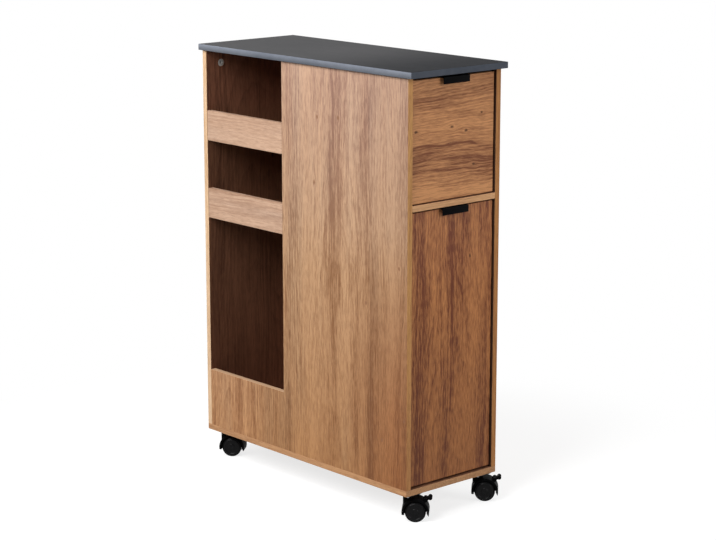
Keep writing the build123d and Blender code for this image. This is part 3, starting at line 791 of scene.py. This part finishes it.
# What Wood.finish is given for each kind of board
BOARD_FINISHES = (
    {
        "names": ("side_panel_left",), "title": "Oak long face", "axes": "YXZ", "tones": LONG_FACE,
        "heart": -0.1, "spacing": 0.34, "slope": -0.052, "cool": 0.5, "gains": (1.2, 0.8, 1.5, 1.3),
        # The inner face is painted in the shaded dark oak, and the edges get painted shade towards the bottom
        "inner": ("X", 1.0), "edges": BAND, "edge_shifts": (((("Z", 0.5, 0.1),), rgb(0.8, 0.72, 0.74)),),
        "ledge": rgb(0.52, 0.33, 0.2),
        # Painted light on the long face: a bluish painted sheen towards the top, painted shade towards the
        # bottom and the front, and a paler, bluer lower rear
        "shifts": (
            ((("Z", 0.45, 0.85),), rgb(0.022, 0.029, 0.053), "ADD"),
            ((("Z", 0.55, 0.05),), rgb(0.88, 0.72, 0.52)),
            ((("Y", -0.12, -0.3),), rgb(0.85, 0.84, 0.84)),
            ((("Y", -0.12, -0.28), ("Z", 0.55, 0.2)), rgb(0.81, 0.635, 0.52)),
            ((("Y", 0.08, 0.2), ("Z", 0.5, 0.35)), rgb(1.2, 1.24, 1.36)),
        ),
        "knot_tone": rgb(0.2, 0.09, 0.045),
        "knots": (
            (-0.0464, 0.7417, 0.003), (-0.1061, 0.7464, 0.0032), (-0.0368, 0.6167, 0.0032),
            (-0.2739, 0.4872, 0.003), (-0.184, 0.4075, 0.003), (-0.2891, 0.2002, 0.003),
            (-0.2291, 0.1517, 0.003),
        ),
        "streaks": (
            (-0.088, 0.006, 0.55, 0.86, 0.7), (-0.106, 0.007, 0.4, 0.86, 0.6),
            (-0.182, 0.014, 0.5, 0.82, 0.5), (-0.2, 0.02, 0.05, 0.5, 0.6), (-0.155, 0.01, 0.1, 0.6, 0.4),
            (-0.093, 0.008, 0.3, 0.55, 0.45), (0.045, 0.008, 0.0, 0.45, 0.4),
            (0.158, 0.006, 0.0, 0.2, 0.55), (0.197, 0.008, 0.0, 0.2, 0.45), (0.0, 0.05, 0.0, 0.9, -0.3),
            (-0.14, 0.014, 0.3, 0.9, -0.25), (-0.25, 0.03, 0.45, 0.9, -0.2),
        ),
    },
    {
        "names": ("side_panel_right",), "title": "Oak right side", "axes": "YXZ", "tones": LONG_FACE,
        "seed": (3.1, 0.0, 1.7), "heart": 0.06, "spacing": 0.3, "start": -0.02, "slope": 0.09,
        # The inner face is painted in the shaded dark oak, with painted shade by the front and painted light
        # higher up
        "edges": (rgb(0.46, 0.205, 0.063), rgb(0.3, 0.12, 0.037)), "inner": ("X", -1.0),
        "inner_painted_light": (
            ((("Y", -0.24, -0.28),), rgb(0.25, 0.25, 0.25)),
            ((("Z", 0.68, 0.74),), rgb(1.2, 1.15, 1.2)),
        ),
        "knots": ((0.12, 0.52, 0.0042), (-0.16, 0.3, 0.0036)),
        "streaks": ((0.02, 0.012, 0.1, 0.86, 0.3), (-0.19, 0.01, 0.2, 0.86, 0.3)),
    },
    {
        "names": ("rear_panel",), "title": "Oak rear panel", "axes": "XYZ",
        "tones": (rgb(0.56, 0.34, 0.19), rgb(0.3, 0.15, 0.07)), "seed": (7.3, 0.0, 4.1), "heart": 0.03,
        "spacing": 0.4, "start": 0.01, "slope": 0.07,
        # The inner face is painted in the shaded dark oak, with painted shade towards the bottom and painted
        # light higher up
        "edges": (rgb(0.73, 0.515, 0.335), rgb(0.495, 0.3, 0.158)), "inner": ("Y", -1.0),
        "inner_painted_light": (
            ((("Z", 0.48, 0.15),), rgb(0.78, 0.68, 0.66)),
            ((("Z", 0.68, 0.74),), rgb(1.3, 1.2, 1.25)),
        ),
        "knots": ((0.05, 0.61, 0.004),),
    },
    {
        # Painted shade: the divider is in the shaded dark oak
        "names": ("divider_panel",), "title": "Oak divider", "axes": "XYZ", "tones": OAK_PAINTED_SHADE,
        "seed": (2.3, 0.0, 6.1), "heart": -0.02, "spacing": 0.4, "edges": BAND,
    },
    {
        "names": ("upper_shelf", "lower_shelf"), "title": "Oak level boards", "axes": "XZY",
        # Painted shade: the shelves are in the shaded dark oak
        "tones": OAK_PAINTED_SHADE, "seed": (5.1, 0.0, 2.4), "heart": 0.02, "spacing": 0.4,
    },
    {
        # Painted shade: the rail board's faces are in the shaded dark oak
        "names": ("middle_board",), "title": "Oak rail board", "axes": "YZX", "tones": OAK_PAINTED_SHADE,
        "seed": (1.1, 0.0, 8.4), "heart": 0.02, "spacing": 0.4,
        "edges": (rgb(0.73, 0.412, 0.202), rgb(0.47, 0.245, 0.115)),
    },
    {
        "names": ("bottom_board",), "title": "Oak bottom board", "axes": "XZY",
        "tones": (rgb(0.45, 0.25, 0.12), rgb(0.28, 0.14, 0.06)), "seed": (4.4, 0.0, 3.3), "heart": 0.02,
        # The top face is painted in the shaded dark oak
        "spacing": 0.4, "edges": (rgb(0.5, 0.27, 0.13), rgb(0.3, 0.14, 0.062)), "inner": ("Z", 1.0),
    },
    {
        "names": ("upper_slat", "lower_slat"), "title": "Oak slats", "axes": "ZXY",
        "tones": (rgb(0.525, 0.345, 0.24), rgb(0.293, 0.163, 0.1)), "seed": (6.2, 0.0, 1.3), "heart": 0.63,
        "spacing": 0.5, "start": 0.08, "slope": 0.04, "roughness": 0.5,
    },
    {
        "names": ("drawer_front",), "title": "Oak drawer front", "axes": "ZYX",
        "tones": (rgb(0.61, 0.287, 0.12), rgb(0.179, 0.0575, 0.0222)), "seed": (9.4, 0.0, 0.6),
        "heart": 0.4, "spacing": 2.0, "slope": 0.08, "ring": 0.0046, "gains": (1.2, 0.9, 1.0, 1.1),
        "sway": 0.012, "cool": 0.0, "roughness": 0.42,
        "knots": (
            (0.7373, -0.0945, 0.003), (0.739, -0.0041, 0.0032), (0.7279, 0.0319, 0.003),
            (0.76, 0.072, 0.0022), (0.664, 0.052, 0.0026),
        ),
        "streaks": (
            (0.697, 0.003, -0.2, 0.2, 0.9), (0.668, 0.024, -0.2, 0.2, 0.7), (0.806, 0.014, -0.2, 0.2, 0.4),
            (0.785, 0.003, -0.2, 0.0, 0.5), (0.76, 0.004, 0.0, 0.2, 0.4), (0.745, 0.02, -0.2, 0.2, -0.15),
            (0.622, 0.02, -0.2, 0.2, -0.5),
        ),
    },
    {
        "names": ("pullout_front",), "title": "Oak lower front", "axes": "XYZ",
        "tones": (rgb(0.548, 0.226, 0.079), rgb(0.152, 0.038, 0.0118)), "seed": (0.7, 0.0, 5.5),
        "heart": 0.002, "spacing": 0.26, "start": 0.04, "slope": -0.05, "gains": (1.3, 1.0, 1.7, 1.0),
        "sway": 0.008, "cool": 0.0, "roughness": 0.42,
        # Painted shade towards the bottom and a faint bluish painted sheen towards the top
        "shifts": (
            ((("Z", 0.5, 0.1),), rgb(0.68, 0.64, 0.6)),
            ((("Z", 0.42, 0.6),), rgb(0.0, 0.003, 0.009), "ADD"),
        ),
        "knots": ((0.0465, 0.492, 0.0028),),
        "streaks": (
            (0.002, 0.008, 0.2, 0.62, 0.6), (-0.016, 0.009, 0.0, 0.27, 0.5), (0.028, 0.01, 0.42, 0.62, 0.3),
            (-0.086, 0.012, 0.0, 0.62, 0.45), (-0.052, 0.014, 0.0, 0.62, -0.25),
            (0.05, 0.022, 0.0, 0.42, -0.15), (0.093, 0.008, 0.0, 0.62, 0.35),
        ),
    },
    {
        "names": [f"{part}_{side}" for part in PAIRED_BOARDS for side in ("left", "right")],
        "title": "Oak box sides", "axes": "ZXY", "tones": BOX, "seed": (8.8, 0.0, 2.2), "heart": 0.2,
    },
    {
        "names": ("drawer_back", "pullout_back"), "title": "Oak box backs", "axes": "ZYX", "tones": BOX,
        "seed": (3.8, 0.0, 7.2), "heart": 0.1,
    },
    {
        "names": ("pullout_bottom", "upper_tray"), "title": "Oak box floors", "axes": "XZY", "tones": BOX,
        "seed": (2.8, 0.0, 9.2), "heart": 0.05,
    },
)


class CART_OT_boards(Operator):
    """Dress every board with its wood foil."""

    bl_idname = "cart.boards"
    bl_label = "Finish the boards"

    def execute(self, context):
        wood = Wood(context.scene.cart_oak)
        for finish in BOARD_FINISHES:
            wood.finish(**finish)
        return {"FINISHED"}


class CART_OT_top(Operator):
    """Dress the top board with its slate-grey foil."""

    bl_idname = "cart.top"
    bl_label = "Finish the top"

    def execute(self, context):
        material, graph, shader = new_material("Slate top", specular=0.008)
        place = object_vector(graph)
        spot = graph.separate(place)
        normal = graph.separate(object_normal(graph))
        cloud = graph.noise(place, (5.0, 3.0, 5.0), detail=4.0)
        grit = graph.noise(place, 900.0)
        veins = graph.noise(place, (60.0, 22.0, 60.0), detail=5.0, roughness=0.65)
        value = graph.line(cloud, 0.5, graph.times(grit, 0.25))
        value = graph.remap(graph.plus(value, graph.times(veins, 0.35)), 0.35, 0.75)
        face = graph.mix(value, rgb(0.008, 0.009, 0.011), rgb(0.02, 0.02, 0.022))
        # Painted reflection: the face grows lighter towards the rear in place of its sheen
        painted_rear_reflection = graph.remap(spot["Y"], -0.3, 0.05)
        face = graph.mix(painted_rear_reflection, face, rgb(0.044, 0.043, 0.043), blend="ADD")
        # Painted sheen: the edges are painted a lighter grey than the face, with a painted highlight along
        # their top and painted shade below it; the narrow edges are a darker copy in painted shade
        edge = graph.mix(value, rgb(0.095, 0.107, 0.134), rgb(0.163, 0.179, 0.215))
        rise = graph.remap(spot["Z"], 0.84, 0.8495, smooth=False)
        painted_edge_light = graph.mix(rise, rgb(0.76, 0.74, 0.7), rgb(1.42, 1.4, 1.36))
        edge = graph.mix(1.0, edge, painted_edge_light, blend="MULTIPLY")
        painted_shade_narrow_edge = graph.mix(value, rgb(0.064, 0.073, 0.09), rgb(0.097, 0.107, 0.13))
        edge = graph.mix(graph.remap(graph.math("ABSOLUTE", normal["Y"]), 0.5, 0.8), edge, painted_shade_narrow_edge)
        colour = graph.mix(graph.remap(normal["Z"], 0.5, 0.8), edge, face)
        height = graph.plus(grit, graph.times(veins, 0.6))
        surface(graph, shader, colour, graph.line(grit, 0.2, 0.42), height, 0.00004)
        dress(material, "top_board")
        return {"FINISHED"}


def metal_material(name, colour, roughness, grain=600.0, metallic=1.0):
    """A metal or plated finish with fine scratches."""
    material, graph, shader = new_material(name, metallic=metallic)
    place = object_vector(graph)
    scratch = graph.noise(place, grain, detail=3.0, roughness=0.6)
    cloud = graph.remap(graph.noise(place, 70.0), 0.3, 0.7)
    base = graph.mix(cloud, toned(colour, 0.72), colour)
    surface(graph, shader, base, graph.line(scratch, 0.22, roughness - 0.11), scratch, 0.00001)
    return material


def plastic_material(name, colour, roughness, specular):
    """Moulded plastic with a fine spark-eroded texture."""
    material, graph, shader = new_material(name, specular=specular)
    place = object_vector(graph)
    grit = graph.noise(place, 2400.0)
    cloud = graph.noise(place, 90.0, detail=3.0)
    base = graph.mix(graph.remap(cloud, 0.3, 0.75), colour, toned(colour, 1.5))
    surface(graph, shader, base, graph.line(cloud, 0.16, roughness - 0.08), grit, 0.000012)
    return material


def hardboard_material():
    """Pressed brown fibre."""
    material, graph, shader = new_material("Hardboard", specular=0.2)
    fibre = graph.noise(object_vector(graph), 700.0, detail=4.0)
    base = graph.mix(graph.remap(fibre, 0.3, 0.7), rgb(0.16, 0.08, 0.035), rgb(0.3, 0.165, 0.08))
    surface(graph, shader, base, 0.7, fibre, 0.00004)
    return material


PLATED = ("cam_locks", "cam_bolts", "base_screws", "castor_screws", "castor_pins")


class CART_OT_fittings(Operator):
    """Dress the slides, plates, pins and other metal parts of the frame."""

    bl_idname = "cart.fittings"
    bl_label = "Finish the fittings"

    def execute(self, context):
        zinc = metal_material("Zinc plate", rgb(0.62, 0.63, 0.64), 0.34)
        steel = metal_material("Rolled steel", rgb(0.5, 0.51, 0.52), 0.36, grain=(900.0, 60.0, 900.0))
        dark = metal_material("Blackened plate", rgb(0.012, 0.012, 0.013), 0.45, metallic=0.4)
        black = plastic_material("Black lacquer", rgb(0.006, 0.006, 0.007), 0.4, 0.2)
        hood = plastic_material("Castor plastic", rgb(0.005, 0.005, 0.0054), 0.36, 0.14)
        dress(hardboard_material(), "drawer_bottom")
        for name in frame["nodes"]:
            if "slide_" in name:
                dress(steel, name)
            elif name in PLATED or name.endswith("_axle"):
                dress(zinc, name)
            elif name == "castor_plates":
                dress(dark, name)
            elif "_pull" in name and name.endswith(("_pull", "_screws")):
                dress(black, name)
            elif name.startswith("castor_"):
                dress(hood, name)
        return {"FINISHED"}


CORNERS = ("front_left", "front_right", "rear_left", "rear_right")
WHEEL_POINTS = 72
WHEEL_SHARP_ANGLE = 34

# The wheel's outline as (along, out): the first two from its faces and its radius, the cap from its axle
WHEEL_INSIDE = ((0.0, -0.0042), (0.0006, -0.0036), (0.0006, -0.0014), (0.0011, -0.0005), (0.002, -0.0001))
WHEEL_OUTSIDE = (
    (-0.0028, -0.0001), (-0.0019, -0.0005), (-0.0014, -0.0011), (-0.0013, -0.0017), (-0.0018, -0.0019),
    (-0.0018, -0.0021), (-0.001, -0.0029), (-0.0003, -0.004), (0.0, -0.0051), (0.0, -0.0062),
    (-0.0005, -0.0066), (-0.001, -0.0076),
)
WHEEL_CAP = (
    (-0.0011, 0.0074), (-0.0008, 0.0066), (-0.0001, 0.006), (0.0, 0.0054), (0.0, 0.0026), (-0.0003, 0.0021),
    (-0.0005, 0.0),
)


def wheel_centre(corner):
    """The middle of a castor's wheels and the way their axle runs."""
    spin = next(joint for joint in frame["joints"] if joint["name"] == f"{corner}_wheel_a_spin")
    return Vector(spin["pos_m"]), Vector(spin["axis"]).normalized()


class CART_OT_wheels(Operator):
    """Turn the eight castor wheels with their rims, dished faces and hubs."""

    bl_idname = "cart.wheels"
    bl_label = "Make the wheels"

    def execute(self, context):
        settings = context.scene.cart_castors
        material = plastic_material("Wheel plastic", rgb(0.002, 0.002, 0.0022), 0.24, 0.1)
        inner = settings.wheel_inner_face
        outer = inner + settings.wheel_width
        radius = settings.wheel_radius
        bore = settings.bore_radius
        bottom = inner + settings.bore_depth
        profile = [(inner, bore)]
        profile += [(inner + along, radius + out) for along, out in WHEEL_INSIDE]
        profile += [(inner + settings.wheel_width * 0.5, radius)]
        profile += [(outer + along, radius + out) for along, out in WHEEL_OUTSIDE]
        profile += [(outer + along, out) for along, out in WHEEL_CAP]
        profile += [(bottom, 0.0), (bottom, bore)]
        for corner in CORNERS:
            centre, axis = wheel_centre(corner)
            for letter in "ab":
                node = f"castor_{corner}_wheel_{letter}"
                low, high = (Vector(point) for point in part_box(node))
                side = 1.0 if ((low + high) / 2 - centre).dot(axis) > 0 else -1.0
                work = bmesh.new()
                lathe(work, profile, centre, axis * side, WHEEL_POINTS)
                bmesh.ops.recalc_face_normals(work, faces=work.faces)
                mesh = shaded(work, node + "_turned", WHEEL_SHARP_ANGLE)
                new_piece(node + "_turned", mesh, material, node, "castor_wheel", node)
        return {"FINISHED"}


class CART_OT_hoods(Operator):
    """Round the moulded castor hoods and brake levers."""

    bl_idname = "cart.hoods"
    bl_label = "Make the hoods and levers"

    def execute(self, context):
        settings = context.scene.cart_castors
        material = plastic_material("Hood plastic", rgb(0.0024, 0.0024, 0.0026), 0.4, 0.008)
        for corner in CORNERS:
            node = f"castor_{corner}_hood"
            mesh = softened(node + "_moulded", node, settings.hood_rounding)
            new_piece(node + "_moulded", mesh, material, f"castor_{corner}", "castor_plastic", node)
            lever = f"castor_{corner}_brake_lever"
            if lever in frame["nodes"]:
                mesh = softened(lever + "_moulded", lever, settings.lever_rounding)
                new_piece(lever + "_moulded", mesh, material, lever, "castor_plastic", lever)
        return {"FINISHED"}


class CART_OT_pulls(Operator):
    """Round the bent edge pulls and lacquer them."""

    bl_idname = "cart.pulls"
    bl_label = "Make the pulls"

    def execute(self, context):
        settings = context.scene.cart_fixings
        material = plastic_material("Pull lacquer", rgb(0.0022, 0.0022, 0.0025), 0.36, 0.02)
        for body in ("drawer", "pullout"):
            node = f"{body}_pull"
            mesh = softened(node + "_bent", node, settings.pull_rounding)
            new_piece(node + "_bent", mesh, material, body, "black_metal", node)
        return {"FINISHED"}


DOWN = Vector((0.0, 0.0, -1.0))
BACK = Vector((0.0, 1.0, 0.0))
FLAT_SINK = 0.0001
DEEPEST_RECESS = 0.0016
SCREW_TURN = 0.7
CAM_TURN = 0.5
FIRST_CAM_TURN = 0.35
CAM_SIZES = {
    "Head height": 0.0008,
    "Sink": 0.0022,
    "Recess length": 0.0062,
    "Recess width": 0.0024,
    "Recess depth": 0.0035,
}


class CART_OT_fixings(Operator):
    """Make the screws and the cam discs."""

    bl_idname = "cart.fixings"
    bl_label = "Make the screws and cams"

    def execute(self, context):
        settings = context.scene.cart_fixings
        zinc = metal_material("Bright zinc", rgb(0.74, 0.74, 0.73), 0.3, metallic=0.9)
        black = metal_material("Blackened screw", rgb(0.03, 0.03, 0.032), 0.4, metallic=0.6)
        screws = screw_tree()
        kinds = (
            ("castor_screws", "carcass", DOWN, settings.plate_screw, FLAT_SINK, zinc),
            ("base_screws", "carcass", DOWN, settings.base_screw, settings.base_sink, zinc),
            ("drawer_pull_screws", "drawer", BACK, settings.pull_screw, FLAT_SINK, black),
            ("pullout_pull_screws", "pullout", BACK, settings.pull_screw, FLAT_SINK, black),
        )
        for node, body, direction, sizes, sink, material in kinds:
            shank, length, head, height = sizes
            places = []
            for index, (low, high) in enumerate(parts_of(node)):
                middle = (low + high) / 2
                reach = (high - low).dot(Vector(abs(part) for part in direction)) / 2
                point = middle + direction * (reach - height)
                places.append((point, direction, SCREW_TURN * index))
            values = {
                "Tip radius": shank * 0.35,
                "Shank radius": shank,
                "Shank length": length,
                "Sink": sink,
                "Head radius": head,
                "Head height": height,
                "Recess length": head * 1.05,
                "Recess width": head * 0.24,
                "Recess depth": min(DEEPEST_RECESS, head * 0.4),
                "Material": material,
            }
            mesh = fasteners(node + "_turned", screws, places, values)
            new_piece(node + "_turned", mesh, material, body, "zinc_fastener", node)
        self.cams(settings, metal_material("Cast zinc", rgb(0.8, 0.78, 0.74), 0.42, metallic=0.45))
        return {"FINISHED"}

    @staticmethod
    def cams(settings, material):
        """The six cam discs, each facing into the cart."""
        places = []
        for index, (low, high) in enumerate(parts_of("cam_locks")):
            size = high - low
            middle = (low + high) / 2
            axis = 0 if size.x < size.y else 1
            direction = Vector((0.0, 0.0, 0.0))
            direction[axis] = -1.0 if middle[axis] > 0 else 1.0
            point = middle + direction * size[axis] / 2
            places.append((point, direction, FIRST_CAM_TURN + CAM_TURN * index))
        values = dict(CAM_SIZES, Material=material)
        values["Head radius"] = settings.cam_radius
        values["Shank length"] = settings.cam_depth
        mesh = fasteners("cam_locks_turned", cam_tree(), places, values)
        new_piece("cam_locks_turned", mesh, material, "carcass", "zinc_fastener", "cam_locks")


FLOOR_REACH = 30.0
FADE_START = 0.42
FADE_END = 0.95
MIDDLE = Vector((0.0, 0.0, 0.42))
SENSOR_WIDTH = 36.0
FARTHEST_SEEN = 100.0


def emptied(holder):
    """The graph of a new world's or material's node tree, without the nodes it comes with."""
    holder.use_nodes = True
    holder.node_tree.nodes.clear()
    return Graph(holder.node_tree)


def seen(graph):
    """One where the camera looks at the surface straight or through a gloss."""
    path = graph.add("ShaderNodeLightPath").outputs
    straight = graph.math("MAXIMUM", path["Is Camera Ray"], path["Is Glossy Ray"])
    return graph.math("MAXIMUM", straight, path["Is Transmission Ray"])


def white_light(graph, kind, strength):
    """An even white light from a background or an emission node."""
    return graph.add(kind, {"Color": WHITE, "Strength": strength}).outputs[0]


def blended(graph, factor, first, second):
    """Two shaders mixed by a factor."""
    return graph.add("ShaderNodeMixShader", {"Fac": factor, 1: first, 2: second}).outputs[0]


class CART_OT_studio(Operator):
    """Set up the floor, the lamps, the world and the camera."""

    bl_idname = "cart.studio"
    bl_label = "Set up the studio"

    def execute(self, context):
        settings = context.scene.cart_studio
        scene = context.scene
        scene.view_settings.view_transform = "Standard"
        self.world(scene, settings)
        self.floor(scene, settings)
        for name in ("key", "fill", "rear"):
            parts = ("power", "size", "distance", "direction")
            self.lamp(scene, name, *(getattr(settings, f"{name}_{part}") for part in parts))
        self.camera(scene, settings)
        return {"FINISHED"}

    @staticmethod
    def world(scene, settings):
        """White for the camera, plain ambient light for everything else."""
        scene.world = bpy.data.worlds.new("Studio")
        graph = emptied(scene.world)
        ambient = white_light(graph, "ShaderNodeBackground", settings.ambient)
        white = white_light(graph, "ShaderNodeBackground", 1.0)
        graph.add("ShaderNodeOutputWorld", {"Surface": blended(graph, seen(graph), ambient, white)})

    @staticmethod
    def floor(scene, settings):
        """A pale floor that keeps the cart's shadow and fades to white further out."""
        mesh = bpy.data.meshes.new("studio_floor")
        corners = [(x * FLOOR_REACH, y * FLOOR_REACH, 0.0) for x, y in ((-1, -1), (1, -1), (1, 1), (-1, 1))]
        mesh.from_pydata(corners, [], [(0, 1, 2, 3)])
        floor = bpy.data.objects.new("studio_floor", mesh)
        scene.collection.objects.link(floor)
        material = bpy.data.materials.new("Pale floor")
        graph = emptied(material)
        place = object_vector(graph)
        pale = rgb(*(settings.floor_tone,) * 3)
        colour = graph.mix(graph.noise(place, 3.0), pale, toned(pale, 0.985))
        diffuse = graph.add("ShaderNodeBsdfDiffuse", {"Color": colour}).outputs[0]
        looked_at = seen(graph)
        glow = white_light(graph, "ShaderNodeEmission", graph.times(looked_at, settings.floor_lift))
        both = graph.add("ShaderNodeAddShader", {0: diffuse, 1: glow}).outputs[0]
        white = white_light(graph, "ShaderNodeEmission", 1.0)
        far = graph.times(graph.remap(graph.vector("LENGTH", place), FADE_START, FADE_END), looked_at)
        graph.add("ShaderNodeOutputMaterial", {"Surface": blended(graph, far, both, white)})
        mesh.materials.append(material)

    @staticmethod
    def lamp(scene, name, power, size, distance, direction):
        """One large soft lamp that faces the middle of the cart."""
        data = bpy.data.lights.new(name, "AREA")
        data.energy = power
        data.shape = "SQUARE"
        data.size = size
        lamp = bpy.data.objects.new(name, data)
        scene.collection.objects.link(lamp)
        towards = Vector(direction).normalized()
        lamp.location = MIDDLE + towards * distance
        lamp.rotation_euler = towards.to_track_quat("Z", "Y").to_euler()
        lamp.visible_glossy = name != "rear"

    @staticmethod
    def camera(scene, settings):
        """The camera as the photograph has it."""
        data = bpy.data.cameras.new("photo_camera")
        data.lens = settings.lens
        data.sensor_width = SENSOR_WIDTH
        data.clip_end = FARTHEST_SEEN
        camera = bpy.data.objects.new("photo_camera", data)
        scene.collection.objects.link(camera)
        camera.location = settings.camera_place
        camera.rotation_euler = (math.pi / 2 - settings.camera_pitch, 0.0, -settings.camera_yaw)
        scene.camera = camera


class CART_PT_panel(Panel):
    """The cart's steps in the sidebar."""

    bl_label = "Rolling cart"
    bl_space_type = "VIEW_3D"
    bl_region_type = "UI"
    bl_category = "Cart"

    def draw(self, context):
        layout = self.layout
        for step in STEPS:
            layout.operator(step.bl_idname)
        scene = context.scene
        for settings in (scene.cart_oak, scene.cart_castors, scene.cart_fixings, scene.cart_studio):
            box = layout.box()
            for name in settings.__annotations__:
                box.prop(settings, name)


STEPS = (
    CART_OT_boards,
    CART_OT_top,
    CART_OT_fittings,
    CART_OT_wheels,
    CART_OT_hoods,
    CART_OT_pulls,
    CART_OT_fixings,
    CART_OT_studio,
)
CLASSES = (OakSettings, CastorSettings, FixingSettings, StudioSettings) + STEPS + (CART_PT_panel,)


def register():
    """Adds the classes and the scene's settings."""
    for kind in CLASSES:
        bpy.utils.register_class(kind)
    bpy.types.Scene.cart_oak = PointerProperty(type=OakSettings)
    bpy.types.Scene.cart_castors = PointerProperty(type=CastorSettings)
    bpy.types.Scene.cart_fixings = PointerProperty(type=FixingSettings)
    bpy.types.Scene.cart_studio = PointerProperty(type=StudioSettings)


def unregister():
    """Takes the classes and the scene's settings away again."""
    del bpy.types.Scene.cart_studio
    del bpy.types.Scene.cart_fixings
    del bpy.types.Scene.cart_castors
    del bpy.types.Scene.cart_oak
    for kind in reversed(CLASSES):
        bpy.utils.unregister_class(kind)


def main():
    """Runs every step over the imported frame."""
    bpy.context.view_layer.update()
    register()
    bpy.ops.cart.boards()
    bpy.ops.cart.top()
    bpy.ops.cart.fittings()
    bpy.ops.cart.wheels()
    bpy.ops.cart.hoods()
    bpy.ops.cart.pulls()
    bpy.ops.cart.fixings()
    bpy.ops.cart.studio()


if __name__ == "__main__":
    main()
